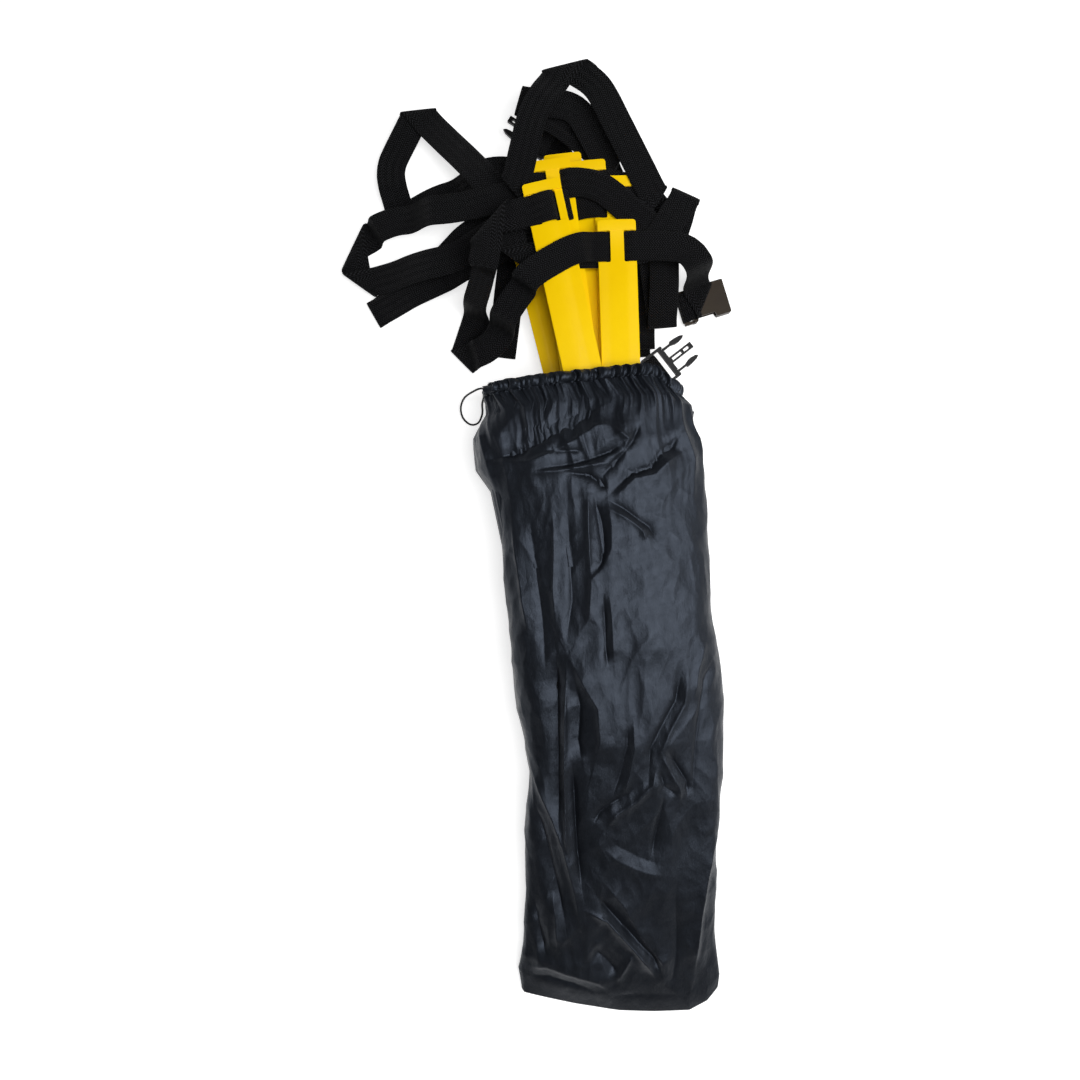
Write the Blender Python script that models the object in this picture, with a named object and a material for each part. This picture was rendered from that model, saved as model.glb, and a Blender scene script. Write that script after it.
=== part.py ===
"""Agility ladder packed in its drawstring bag, lying on the floor.

Twelve flat plastic rungs are threaded on two webbing straps, one at each end.
The rungs lie on each other in layers, half pulled out of a nylon bag, and the
straps hang out between them in folded loops. Each strap ends in one half of a
side-release buckle. Units are metres. +Y runs from the closed end of the bag
to its mouth, +Z is up, and the origin is on the underside of the bag.
"""

import math

import bmesh
import bpy
from mathutils import Matrix, Vector

# Rungs
RUNG_LENGTH = 0.420
RUNG_WIDTH = 0.036
RUNG_THICK = 0.0040
RUNG_CORNER = 0.0025
HEAD_LENGTH = 0.0100
NECK_WIDTH = 0.0127
NECK_TOP_INSET = 0.0003
SLOT_WIDTH = 0.0045
SLOT_CORNER = 0.0012
STRIP_THICK = 0.0020

# Webbing and the room it needs
WEB_WIDTH = 0.028
WEB_THICK = 0.0012
WEB_SIDE_PLAY = 0.0008
FIT = 0.0003
FOLD_RADIUS = 0.0010
FOLD_STEPS = 5
LOOSE_RADIUS = 0.0030
BEND_REACH = 0.016
BEND_REACH_SHARE = 0.45
BEND_STEPS = 4
RUN_STEP = 0.030
LEAST_STEP = 0.0002
EXIT_REACH = 0.0040

# How the rungs lie on each other
BED_HEIGHT = 0.0050
LAYER_GAP = 0.0004
LAYER_PITCH = RUNG_THICK + LAYER_GAP

# Bag
BAG_WALL = 0.0014
BAG_FLOOR_CUT = 0.0010
BAG_SIDES = 36
BAG_TOP_POWER = 2.6
BAG_FLOOR_POWER = 5.0

# Drawcord and the hem channel that it runs in
CORD_DIAMETER = 0.0020
CORD_PLAY = 0.0006
CORD_LEAD = 0.0025
HEM_GAP = 0.0008
CHANNEL_LENGTH = 0.0100
CHANNEL_THICK = 0.0044
CHANNEL_MOUTH_STEPS = 1
CORD_SIDES = 6

# Side-release buckles, measured along the strap from the bar that the webbing goes round
BUCKLE_WIDTH = 0.0340
BAR_DIAMETER = 0.0030
BAR_SIDES = 16
FRAME_RAIL = 0.0026
FRAME_THICK = 0.0040
BAR_SLOT = 0.0062
REAR_SLOT = 0.0072
CROSSBAR_LENGTH = 0.0048
BUCKLE_CORNER = 0.0010
SOCKET_THICK = 0.0084
SOCKET_WALL = 0.0015
SHOULDER_LENGTH = 0.0040
WAIST_LENGTH = 0.0190
WAIST_WIDTH = 0.0250
COLLAR_LENGTH = 0.0150
ARM_LENGTH = 0.0240
ARM_HALF_DEPTH = 0.0030
ARM_HEIGHT = 0.0040
ARM_ROOT_RADIUS = 0.0014
ARM_ACROSS = 0.0125
GUIDE_WIDTH = 0.0062
GUIDE_LENGTH = 0.0250
GUIDE_SLOT = 0.0026
FLAP_LENGTH = 0.0120

CUT_OVERRUN = 0.0010

# Routes were sketched on a grid of this step; heights are in layers
GRID = 0.010

OVER = 1
UNDER = -1
LEFT = -1
RIGHT = 1

# Each rung, in the order of the strap: its layer, where its head's end is (across, along),
# how far across its foot lies, and the sides by which the head strap enters and leaves it
RUNG_LAYS = (
    (1, 1.4, 47.8, 1.2, LEFT, RIGHT),
    (2, -1.4, 48.2, 2.2, RIGHT, LEFT),
    (3, -2.4, 47.0, 0.4, LEFT, RIGHT),
    (4, -6.0, 50.0, 2.0, RIGHT, LEFT),
    (5, 0.0, 49.0, 1.4, LEFT, RIGHT),
    (6, -1.4, 53.0, 1.0, RIGHT, LEFT),
    (7, 0.9, 46.2, 2.2, LEFT, RIGHT),
    (8, 0.8, 51.8, 2.6, RIGHT, LEFT),
    (9, 3.2, 50.0, 2.2, LEFT, RIGHT),
    (10, -2.6, 51.7, 0.8, LEFT, RIGHT),
    (12, -3.7, 49.3, 3.2, LEFT, LEFT),
    (11, 3.2, 45.5, 2.2, LEFT, RIGHT),
)

# Head strap: the way from each rung to the next. Each point is across, along,
# height in layers, fold (over, under or none) and roll in degrees
HEAD_LOOPS = (
    ((5.2, 45.2, 1.0, UNDER, 0), (5.0, 33.8, -0.5, OVER, 0), (5.2, 45.9, 1.55, OVER, 0)),
    ((-6.4, 45.2, 2.0, UNDER, 0), (-8.4, 34.5, -0.5, OVER, 0), (-6.6, 44.6, 2.55, OVER, 0)),
    (
        (5.6, 44.7, 3.0, UNDER, 0),
        (5.4, 34.4, 0.9, OVER, 0),
        (5.6, 42.4, 3.55, 0, 0),
        (5.8, 48.0, 3.55, OVER, 0),
    ),
    (
        (-10.0, 46.6, 4.0, 0, 0),
        (-15.0, 42.8, 2.0, 0, 0),
        (-20.8, 39.3, -0.4, OVER, 0),
        (-15.0, 41.6, 2.7, 0, 0),
        (-9.0, 44.0, 5.0, 0, 0),
    ),
    (
        (4.4, 46.6, 5.0, OVER, 0),
        (2.4, 53.0, 4.6, 0, 0),
        (-1.8, 56.6, 5.0, 0, 0),
        (-5.2, 58.4, 5.4, OVER, 0),
        (0.2, 57.4, 6.4, 0, 0),
        (3.4, 50.9, 6.45, UNDER, 0),
    ),
    (
        (-7.2, 52.0, 5.6, 0, 0),
        (-14.0, 50.5, -0.4, 0, 0),
        (-17.6, 48.6, -0.4, OVER, 0),
        (-18.5, 53.4, 1.6, 0, 0),
        (-15.2, 58.6, 2.6, OVER, 0),
        (-8.0, 49.6, 7.0, 0, 0),
        (-4.8, 44.6, 7.0, 0, 0),
    ),
    (
        (6.6, 43.8, 7.0, UNDER, 0),
        (7.4, 36.0, 4.4, OVER, 0),
        (7.7, 41.4, 7.55, 0, 0),
        (8.0, 48.0, 7.55, OVER, 0),
    ),
    (
        (-6.0, 48.9, 8.0, 0, 0),
        (-12.5, 48.0, 7.5, 0, 0),
        (-18.4, 48.0, 3.0, 0, 0),
        (-22.4, 46.0, 0.6, OVER, 0),
        (-22.0, 42.2, 1.1, OVER, 0),
        (-12.8, 43.3, 6.6, 0, 0),
        (-6.4, 46.2, 9.0, 0, 0),
    ),
    (
        (7.2, 47.3, 9.0, OVER, 0),
        (2.1, 58.8, 9.6, 0, 0),
        (-0.7, 60.4, 9.8, OVER, 0),
        (-3.9, 56.4, 11.0, 0, 0),
        (-6.2, 49.0, 10.3, UNDER, 0),
    ),
    (
        (1.9, 49.0, 10.0, 0, 0),
        (6.0, 45.2, 9.75, 0, 0),
        (8.3, 43.2, 8.6, UNDER, 0),
        (9.9, 47.6, 8.5, OVER, 0, LOOSE_RADIUS),
        (6.6, 42.9, 10.15, 0, 0),
        (2.9, 42.6, 10.15, 0, 0),
        (-1.6, 42.6, 10.7, 0, 0),
        (-6.4, 42.4, 10.8, UNDER, 0),
        (-7.0, 46.2, 10.2, OVER, 0),
    ),
    (
        (-8.6, 45.9, 12.0, OVER, 0),
        (-9.1, 43.2, 12.4, 0, 0),
        (-9.8, 40.6, 9.0, 0, 45),
        (-11.4, 36.4, -0.3, 0, 0),
        (-12.3, 34.2, -0.3, OVER, 0),
        (-9.4, 35.0, 2.6, 0, 0),
        (-6.8, 38.8, 9.5, 0, 0),
        (-5.0, 40.8, 12.7, 0, 0),
        (-1.2, 42.7, 12.7, 0, 0),
    ),
)
HEAD_MALE_TAIL = (
    (-3.8, 45.5, 1.0, UNDER, 0),
    (-0.1, 53.4, -0.6, OVER, 0),
    (-1.85, 54.69, -0.35, 0, 0),
)
HEAD_FEMALE_TAIL = (
    (9.9, 42.6, 10.9, 0, 0),
    (11.8, 38.6, 2.15, UNDER, 0),
)
# The head's socket half lies on the floor with its strap turned back over it: where its
# bar is, which way it points, and the strap's way round the bar (ahead of it, above it)
HEAD_FEMALE_AXIS = (0.0976, 0.3809, 0.0044)
HEAD_FEMALE_TURN = 14
BACK_OVER_PROFILE = (
    (6.0, 6.6),
    (2.0, 5.5),
    (-1.2, 3.4),
    (-2.5, 0.8),
    (-2.2, -1.4),
    (-0.4, -2.5),
    (1.8, -2.1),
    (3.4, -0.4),
    (4.4, 2.2),
    (6.0, 4.7),
    (8.5, 5.1),
    (16.0, 5.1),
)
PROFILE_STEP = 0.001
HEAD_MALE_BAR = (-3.3, 55.75, -0.35)

# Foot strap: its loops lie in the bag, beside and below the rungs. Each goes down from its
# window, is level to the shoulder, settles to the turn and comes back to the next window
FOOT_RIGHT = 0.0680
FOOT_LEFT = -0.0440
FOOT_SHOULDER = 0.0430
FOOT_TURN = -0.0720
FOOT_SETTLE_SHARE = 0.62
FOOT_FEMALE_TAIL = ((6.8, 8.5, 1.0, UNDER, 0), (6.8, 2.0, 0.2, 0, 0), (5.9, -7.0, 0.2, 0, 0))
FOOT_FEMALE_BAR = (5.8, -10.5, 0.2)
FOOT_MALE_TAIL = (
    (6.8, 6.1, 11.0, UNDER, 0),
    (6.8, 16.0, 10.55, 0, 0),
    (5.9, 22.0, 7.6, 0, 0),
    (4.1, 29.91, 5.48, 0, 0),
)
FOOT_MALE_BAR = (6.9, 31.84, 5.48)

# Bag sections from the mouth to the closed end: along, left edge, right edge, height,
# lean of the section's plane across the bag, how far its middle bows outwards, and how far
# its right end is set back, where the foot strap's plug leans out of the mouth
BAG_SECTIONS = (
    (30.4, -9.8, 8.3, 6.6, 0.055, 0.0, 1.9),
    (28.6, -9.6, 9.3, 6.8, 0.045, 0.0, 1.2),
    (24.7, -11.4, 10.0, 7.0, 0.020, 0.0, 0.2),
    (20.1, -9.6, 10.6, 6.9, 0.0, 0.0, 0.0),
    (14.2, -9.1, 10.7, 6.9, 0.0, 0.0, 0.0),
    (5.4, -8.7, 11.0, 6.9, 0.0, 0.0, 0.0),
    (-3.5, -8.1, 11.0, 6.2, 0.0, 0.0, 0.0),
    (-12.3, -8.8, 9.8, 4.8, 0.0, 0.0, 0.0),
    (-18.2, -8.9, 9.8, 3.8, 0.0, 0.2, 0.0),
    (-24.5, -9.8, 10.0, 2.4, 0.0, 1.0, 0.0),
    (-28.6, -10.2, 10.1, 0.8, 0.0, 2.5, 0.0),
)
SET_BACK_SHARE = 0.62

# The free loop of the drawcord, from one end of the channel to the other
CORD_LOOP = (
    (-10.0, 30.7, 3.4),
    (-10.5, 30.9, 2.9),
    (-11.2, 30.8, 2.3),
    (-12.2, 30.4, 1.4),
    (-12.7, 29.6, 0.7),
    (-12.6, 28.6, 0.25),
    (-11.9, 27.9, 0.13),
    (-11.1, 28.0, 0.2),
    (-10.6, 28.8, 0.8),
    (-10.5, 29.6, 1.8),
    (-10.2, 30.2, 2.4),
    (-9.8, 30.4, 2.4),
)

# Shape of a buckle's arm: shares of its half depth (outwards) and of its length
ARM_SHAPE = (
    (0.36, 0.0),
    (0.36, 0.36),
    (0.86, 0.40),
    (0.78, 0.62),
    (0.45, 0.86),
    (-0.10, 1.0),
    (-0.75, 0.90),
    (-1.0, 0.70),
    (-0.95, 0.56),
    (-0.62, 0.44),
    (-0.36, 0.34),
    (-0.36, 0.0),
)

# The slots through a buckle's guide: where each starts and ends, as shares of its length
GUIDE_SLOTS = ((0.06, 0.52), (0.60, 0.86))


def clear_scene():
    for obj in list(bpy.data.objects):
        bpy.data.objects.remove(obj, do_unlink=True)


def new_collection(name):
    group = bpy.data.collections.new(name)
    bpy.context.scene.collection.children.link(group)
    return group


def make_material(name, colour, roughness, metallic=0.0):
    material = bpy.data.materials.new(name)
    material.use_nodes = True
    shader = material.node_tree.nodes["Principled BSDF"]
    shader.inputs["Base Color"].default_value = (*colour, 1.0)
    shader.inputs["Roughness"].default_value = roughness
    shader.inputs["Metallic"].default_value = metallic
    return material


def add_mesh_object(name, mesh, group, material, smooth=False):
    obj = bpy.data.objects.new(name, mesh)
    group.objects.link(obj)
    if material and not mesh.materials:
        mesh.materials.append(material)
    if smooth:
        mesh.shade_smooth()
        mesh.set_sharp_from_angle(angle=math.radians(40))
    return obj


def mesh_from(name, build):
    shape = bmesh.new()
    build(shape)
    bmesh.ops.recalc_face_normals(shape, faces=shape.faces)
    mesh = bpy.data.meshes.new(name)
    shape.to_mesh(mesh)
    shape.free()
    return mesh


def add_box(shape, low, high, corner=0.0, corner_steps=1):
    """A box between two corners, its upright edges rounded by corner."""
    size = [high[i] - low[i] for i in range(3)]
    middle = [(high[i] + low[i]) / 2 for i in range(3)]
    place = Matrix.Translation(middle) @ Matrix.Diagonal((*size, 1.0))
    made = bmesh.ops.create_cube(shape, size=1.0, matrix=place)
    if corner > 0:
        points = set(made["verts"])
        upright = [
            edge
            for edge in shape.edges
            if edge.verts[0] in points
            and edge.verts[1] in points
            and abs(edge.verts[0].co.z - edge.verts[1].co.z) > size[2] / 2
        ]
        bmesh.ops.bevel(
            shape, geom=upright, offset=corner, segments=corner_steps, affect="EDGES", profile=0.5
        )


def cut(obj, cutter):
    """Takes the cutter out of the object and keeps the result as its mesh."""
    modifier = obj.modifiers.new("cut", "BOOLEAN")
    modifier.operation = "DIFFERENCE"
    modifier.object = cutter
    graph = bpy.context.evaluated_depsgraph_get()
    graph.update()
    mesh = bpy.data.meshes.new_from_object(obj.evaluated_get(graph))
    obj.modifiers.remove(modifier)
    obj.data = mesh


def add_cutter(name, build, cutters):
    obj = add_mesh_object(name, mesh_from(name, build), cutters, None)
    obj.hide_render = True
    obj.display_type = "WIRE"
    return obj


# Rungs


def slot_length():
    return WEB_WIDTH + 2 * WEB_SIDE_PLAY


def window_middle():
    """How far the middle of a strap window lies from the rung's end."""
    return HEAD_LENGTH + slot_length() / 2


def make_rung_mesh(group, cutters, material):
    """One rung, its head's end at the origin and its length along -Y, lying on z = 0."""
    half = RUNG_WIDTH / 2
    blank = mesh_from(
        "rung_blank",
        lambda shape: add_box(
            shape, (-half, -RUNG_LENGTH, 0), (half, 0, RUNG_THICK), RUNG_CORNER, 2
        ),
    )
    rung = add_mesh_object("rung_blank", blank, group, material)
    neck = NECK_WIDTH / 2
    middles = (-window_middle(), -RUNG_LENGTH + window_middle())
    reach = slot_length() / 2

    def slots(shape):
        for middle in middles:
            for side in (LEFT, RIGHT):
                inner = side * neck
                outer = side * (neck + SLOT_WIDTH)
                low = (min(inner, outer), middle - reach, -CUT_OVERRUN)
                high = (max(inner, outer), middle + reach, RUNG_THICK + CUT_OVERRUN)
                add_box(shape, low, high, SLOT_CORNER, 1)

    def strip_recesses(shape):
        for middle in middles:
            for side in (LEFT, RIGHT):
                inner = side * (neck + SLOT_WIDTH / 2)
                outer = side * (half + CUT_OVERRUN)
                low = (min(inner, outer), middle - reach, STRIP_THICK)
                high = (max(inner, outer), middle + reach, RUNG_THICK + CUT_OVERRUN)
                add_box(shape, low, high)

    def neck_recesses(shape):
        under = WEB_THICK + 2 * FIT - LAYER_GAP / 2
        for middle in middles:
            low = (-neck - SLOT_WIDTH / 2, middle - reach, -CUT_OVERRUN)
            high = (neck + SLOT_WIDTH / 2, middle + reach, under)
            add_box(shape, low, high)

    def neck_top_insets(shape):
        for middle in middles:
            low = (-neck - SLOT_WIDTH / 2, middle - reach, RUNG_THICK - NECK_TOP_INSET)
            high = (neck + SLOT_WIDTH / 2, middle + reach, RUNG_THICK + CUT_OVERRUN)
            add_box(shape, low, high)

    for name, build in (
        ("slot_cutter", slots),
        ("strip_recess_cutter", strip_recesses),
        ("neck_recess_cutter", neck_recesses),
        ("neck_inset_cutter", neck_top_insets),
    ):
        cut(rung, add_cutter(name, build, cutters))
    mesh = rung.data
    mesh.name = "rung"
    if not mesh.materials:
        mesh.materials.append(material)
    bpy.data.objects.remove(rung)
    return mesh


class RungLay:
    """Where one rung lies: its layer, the plan place of its head's end and its direction."""

    def __init__(self, layer, across, along, foot_across, entry, leave):
        self.layer = layer
        self.entry = entry
        self.leave = leave
        self.tip = Vector((across * GRID, along * GRID, 0))
        self.lean = math.asin((foot_across * GRID - self.tip.x) / RUNG_LENGTH)
        self.up = Vector((-math.sin(self.lean), math.cos(self.lean), 0))
        self.out = Vector((math.cos(self.lean), math.sin(self.lean), 0))
        self.bottom = BED_HEIGHT + (layer - 1) * LAYER_PITCH

    def window(self, at_foot):
        """The plan middle of the strap window at the head or at the foot."""
        down = RUNG_LENGTH - window_middle() if at_foot else window_middle()
        return self.tip - self.up * down


def level(layers):
    """The height of a strap that leaves a rung in this layer over its outer strip."""
    over_strip = STRIP_THICK + FIT + WEB_THICK / 2
    return BED_HEIGHT + (layers - 1) * LAYER_PITCH + over_strip


def make_rungs(lays, group, cutters, material):
    mesh = make_rung_mesh(group, cutters, material)
    for number, lay in enumerate(lays, start=1):
        rung = add_mesh_object(f"rung_{number:02d}", mesh, group, material)
        rung.location = (lay.tip.x, lay.tip.y, lay.bottom)
        rung.rotation_euler = (0, 0, lay.lean)


# Webbing


def meets(ruling, following):
    """Whether the following ruling isn't clear ahead of this one at both its ends."""
    step = following[0] - ruling[0]
    way = step.normalized()
    turn = following[1] - ruling[1]
    return min((step + turn).dot(way), (step - turn).dot(way)) < LEAST_STEP


class Ribbon:
    """A folded flat strap, held as rulings: lines that lie straight across it."""

    def __init__(self):
        self.rulings = []

    def add(self, middle, half_line, fixed=False):
        """Adds a ruling unless it meets the last one; a fixed one drops those that it meets."""
        ruling = (middle.copy(), half_line.copy(), fixed)
        while self.rulings and meets(self.rulings[-1], ruling):
            if self.rulings[-1][2]:
                if not fixed:
                    return
                break
            self.rulings.pop()
        self.rulings.append(ruling)

    def mesh(self, name):
        middles = [ruling[0] for ruling in self.rulings]
        last = len(middles) - 1
        half_thick = WEB_THICK / 2

        def build(shape):
            rings = []
            for i, (middle, half_line, _) in enumerate(self.rulings):
                ahead = middles[min(i + 1, last)] - middles[max(i - 1, 0)]
                normal = ahead.cross(half_line).normalized() * half_thick
                corners = (
                    middle + half_line + normal,
                    middle - half_line + normal,
                    middle - half_line - normal,
                    middle + half_line - normal,
                )
                rings.append([shape.verts.new(corner) for corner in corners])
            for ring, following in zip(rings, rings[1:]):
                for k in range(4):
                    following_k = (k + 1) % 4
                    shape.faces.new(
                        (ring[k], ring[following_k], following[following_k], following[k])
                    )
            shape.faces.new(rings[0])
            shape.faces.new(list(reversed(rings[-1])))

        return mesh_from(name, build)


def flat(vector):
    return Vector((vector.x, vector.y, 0)).normalized()


class RoutePoint:
    """A place where a strap folds over, folds under or only bends."""

    def __init__(self, place, fold=0, roll=0.0, radius=FOLD_RADIUS):
        self.place = place
        self.fold = fold
        self.roll = math.radians(roll)
        self.radius = radius


def sketch_point(across, along, layers, fold, roll, radius=FOLD_RADIUS):
    return RoutePoint(Vector((across * GRID, along * GRID, level(layers))), fold, roll, radius)


def across_line(direction, face, roll=0.0):
    """Half the strap's width, square to its plan direction and rolled about it."""
    flat_line = Vector((-direction.y, direction.x, 0)) * face
    return (flat_line * math.cos(roll) + Vector((0, 0, math.sin(roll)))) * (WEB_WIDTH / 2)


def add_fold(ribbon, point, arriving, leaving, face, radius):
    """Rolls the strap over a crease, which mirrors its direction, and turns its face."""
    normal = (arriving - leaving).normalized()
    crease = arriving + leaving
    slide = crease.length / (arriving - leaving).length
    crease = crease.normalized() if slide > 1e-3 else Vector((-normal.y, normal.x, 0))
    arriving_line = Vector((-arriving.y, arriving.x, 0)) * face
    toward = 1 if crease.dot(arriving_line) > 0 else -1
    half_line = crease * (toward * WEB_WIDTH / 2 * math.sqrt(1 + slide * slide))
    start = point.place - crease * (math.pi / 2 * radius * slide)
    lift = Vector((0, 0, point.fold))
    for step in range(FOLD_STEPS + 1):
        angle = math.pi * step / FOLD_STEPS
        middle = (
            start
            + normal * (radius * math.sin(angle))
            + lift * (radius * (1 - math.cos(angle)))
            + crease * (radius * angle * slide)
        )
        ribbon.add(middle, half_line, True)
    return ribbon.rulings[-1][0]


def ease(share):
    return share * share * (3 - 2 * share)


def add_run(ribbon, start, end, face, start_roll, end_roll, start_gap, end_gap):
    """Rulings square to a straight run, between the gaps that its ends keep free."""
    way = flat(end - start)
    plan_length = (end - start).to_2d().length
    clear = plan_length - start_gap - end_gap
    if clear <= 0:
        return
    steps = max(1, math.ceil(clear / RUN_STEP))
    for step in range(steps + 1):
        share = (start_gap + clear * step / steps) / plan_length
        middle = start.lerp(end, share)
        middle.z = start.z + (end.z - start.z) * ease(step / steps)
        roll = start_roll + (end_roll - start_roll) * step / steps
        ribbon.add(middle, across_line(way, face, roll))


def crease_gap(arriving, leaving, radius):
    """How far along the run an oblique crease reaches."""
    slide = (arriving + leaving).length / (arriving - leaving).length
    return (WEB_WIDTH / 2 + math.pi / 2 * radius) * slide + 2 * LEAST_STEP


def add_route(ribbon, start, points, end, face):
    """The strap from a window through the route's points to the next window."""
    here = start
    roll = 0.0
    start_gap = 0.0
    for index, point in enumerate(points):
        following = points[index + 1].place if index + 1 < len(points) else end
        arriving = flat(point.place - here)
        leaving = flat(following - point.place)
        if point.fold:
            gap = crease_gap(arriving, leaving, point.radius)
            arrival = point.place
            add_run(ribbon, here, arrival, face, roll, 0.0, start_gap, gap)
            last = add_fold(ribbon, point, arriving, leaving, face, point.radius)
            here = Vector((point.place.x, point.place.y, last.z))
            face = -face
            roll = 0.0
            start_gap = gap
        else:
            reach_in = min(BEND_REACH, (point.place - here).length * BEND_REACH_SHARE)
            reach_out = min(BEND_REACH, (following - point.place).length * BEND_REACH_SHARE)
            entry = point.place - arriving * reach_in
            leave = point.place + leaving * reach_out
            entry.z = point.place.z
            leave.z = point.place.z
            add_run(ribbon, here, entry, face, roll, point.roll, start_gap, 0.0)
            for step in range(1, BEND_STEPS):
                share = step / BEND_STEPS
                first = entry.lerp(point.place, share)
                second = point.place.lerp(leave, share)
                ribbon.add(
                    first.lerp(second, share), across_line(flat(second - first), face, point.roll)
                )
            ribbon.add(leave, across_line(leaving, face, point.roll))
            here = leave
            roll = point.roll
            start_gap = 0.0
    add_run(ribbon, here, end, face, roll, 0.0, start_gap, 0.0)
    return face


def add_window(ribbon, lay, at_foot, way_sign, face):
    """The strap through one rung: over a strip, down a slot, under the neck and up again."""
    middle = lay.window(at_foot)
    high = level(lay.layer)
    low = lay.bottom + FIT - LAYER_GAP / 2 + WEB_THICK / 2
    neck = NECK_WIDTH / 2 + FIT
    strip = NECK_WIDTH / 2 + SLOT_WIDTH - FIT
    side = RUNG_WIDTH / 2 + EXIT_REACH
    way = lay.out * way_sign
    for offset, height in (
        (-side, high),
        (-strip, high),
        (-neck, low),
        (neck, low),
        (strip, high),
        (side, high),
    ):
        place = middle + way * offset
        place.z = height
        ribbon.add(place, across_line(way, face), True)


def window_end(lay, at_foot, side, height=None):
    place = lay.window(at_foot) + lay.out * (side * (RUNG_WIDTH / 2 + EXIT_REACH))
    place.z = level(lay.layer) if height is None else height
    return place


def hairpin_height(lay):
    """The height of a strap that lies doubled under the rung's outer strip."""
    return lay.bottom - FIT - WEB_THICK / 2 - 2 * FOLD_RADIUS


def add_hairpin(ribbon, lay, face):
    """The strap through a rung that it leaves by the side it came from.

    It comes in under the rung, folds back under the far strip, rises through that
    side's slot, and goes out over the neck and the near strip.
    """
    under = hairpin_height(lay)
    way = lay.out * -lay.entry
    side = RUNG_WIDTH / 2 + EXIT_REACH
    start = window_end(lay, False, lay.entry, under)
    turn = window_end(lay, False, -lay.entry, under)
    add_run(ribbon, start, turn, face, 0.0, 0.0, 0.0, 0.0)
    last = add_fold(ribbon, RoutePoint(turn, OVER), way, -way, face, FOLD_RADIUS)
    middle = lay.window(False)
    neck = NECK_WIDTH / 2 + FIT
    strip = NECK_WIDTH / 2 + SLOT_WIDTH - FIT
    slot = NECK_WIDTH / 2 + SLOT_WIDTH / 2
    over_neck = lay.bottom + RUNG_THICK - NECK_TOP_INSET + FIT + WEB_THICK / 2
    for offset, height in (
        (slot + WEB_THICK / 2, last.z),
        (slot - WEB_THICK / 2, over_neck),
        (-neck, over_neck),
        (-strip, level(lay.layer)),
        (-side, level(lay.layer)),
    ):
        place = middle + way * offset
        place.z = height
        ribbon.add(place, across_line(-way, -face), True)
    return -face


def foot_side(number):
    """The side by which the foot strap leaves a rung: it changes sides at every rung."""
    return LEFT if number % 2 == 0 else RIGHT


def beside(lay, across, layers):
    """The place beside a rung's foot window, straight out of it, at a height in layers."""
    window = lay.window(True)
    place = window + lay.out * ((across - window.x) / lay.out.x)
    place.z = level(layers)
    return place


def foot_loop(lays, number):
    """Inside the bag a loop turns down beside the rungs, doubles back and returns."""
    lay = lays[number]
    following = lays[number + 1]
    across = FOOT_RIGHT if foot_side(number) == RIGHT else FOOT_LEFT
    rising = OVER if following.layer > lay.layer else UNDER
    fold_layers = 2 * FOLD_RADIUS / LAYER_PITCH
    down = lay.layer - fold_layers
    back = following.layer - fold_layers
    settled = level(FOOT_SETTLE_SHARE * lay.layer)
    return (
        RoutePoint(beside(lay, across, lay.layer), UNDER),
        RoutePoint(Vector((across, FOOT_SHOULDER, level(down)))),
        RoutePoint(Vector((across, FOOT_TURN, settled)), rising),
        RoutePoint(Vector((across, FOOT_SHOULDER, level(back)))),
        RoutePoint(beside(following, across, back), OVER),
    )


def bar_radius():
    """How far the middle of the webbing lies from the middle of a buckle's bar."""
    return BAR_DIAMETER / 2 + FIT + WEB_THICK / 2


def bar_place(bar):
    across, along, layers = bar
    return Vector((across * GRID, along * GRID, level(layers)))


def add_bar_loop(ribbon, start, points, bar, face):
    """The sewn end of a strap: round the buckle's bar and back along itself."""
    bar_point = RoutePoint(bar, OVER, 0.0, bar_radius())
    back = bar - flat(bar - points[-1].place) * FLAP_LENGTH
    back.z = bar.z + 2 * bar_radius()
    add_route(ribbon, start, (*points, bar_point), back, face)


def add_first_tail(ribbon, start, points, bar):
    """A tail is drawn from the rung outwards, so the strap's first one is turned round."""
    tail = Ribbon()
    add_bar_loop(tail, start, points, bar, -1)
    ribbon.rulings = [(middle, -line, fixed) for middle, line, fixed in reversed(tail.rulings)]


def head_female_way():
    turn = math.radians(HEAD_FEMALE_TURN)
    return Vector((math.cos(turn), math.sin(turn), 0))


def add_wrapped_end(ribbon, start, points, face):
    """The sewn end that comes back over its buckle, goes round the bar and up again."""
    way = head_female_way()
    axis = Vector(HEAD_FEMALE_AXIS)

    def profile_place(ahead, above):
        return axis + way * (ahead * PROFILE_STEP) + Vector((0, 0, above * PROFILE_STEP))

    face = add_route(ribbon, start, points, profile_place(*BACK_OVER_PROFILE[0]), face)
    for ahead, above in BACK_OVER_PROFILE[1:]:
        ribbon.add(profile_place(ahead, above), across_line(-way, face), True)


def make_head_strap(lays, group, material):
    ribbon = Ribbon()
    first = lays[0]
    tail = [sketch_point(*point) for point in HEAD_MALE_TAIL]
    add_first_tail(ribbon, window_end(first, False, first.entry), tail, bar_place(HEAD_MALE_BAR))
    face = 1
    for number, lay in enumerate(lays):
        if lay.entry == lay.leave:
            face = add_hairpin(ribbon, lay, face)
        else:
            add_window(ribbon, lay, False, lay.leave, face)
        if number + 1 == len(lays):
            break
        following = lays[number + 1]
        hairpin = following.entry == following.leave
        height = hairpin_height(following) if hairpin else None
        points = [sketch_point(*point) for point in HEAD_LOOPS[number]]
        start = window_end(lay, False, lay.leave)
        end = window_end(following, False, following.entry, height)
        face = add_route(ribbon, start, points, end, face)
    start = window_end(lays[-1], False, lays[-1].leave)
    points = [sketch_point(*point) for point in HEAD_FEMALE_TAIL]
    add_wrapped_end(ribbon, start, points, face)
    return add_mesh_object("head_strap", ribbon.mesh("head_strap"), group, material)


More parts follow.
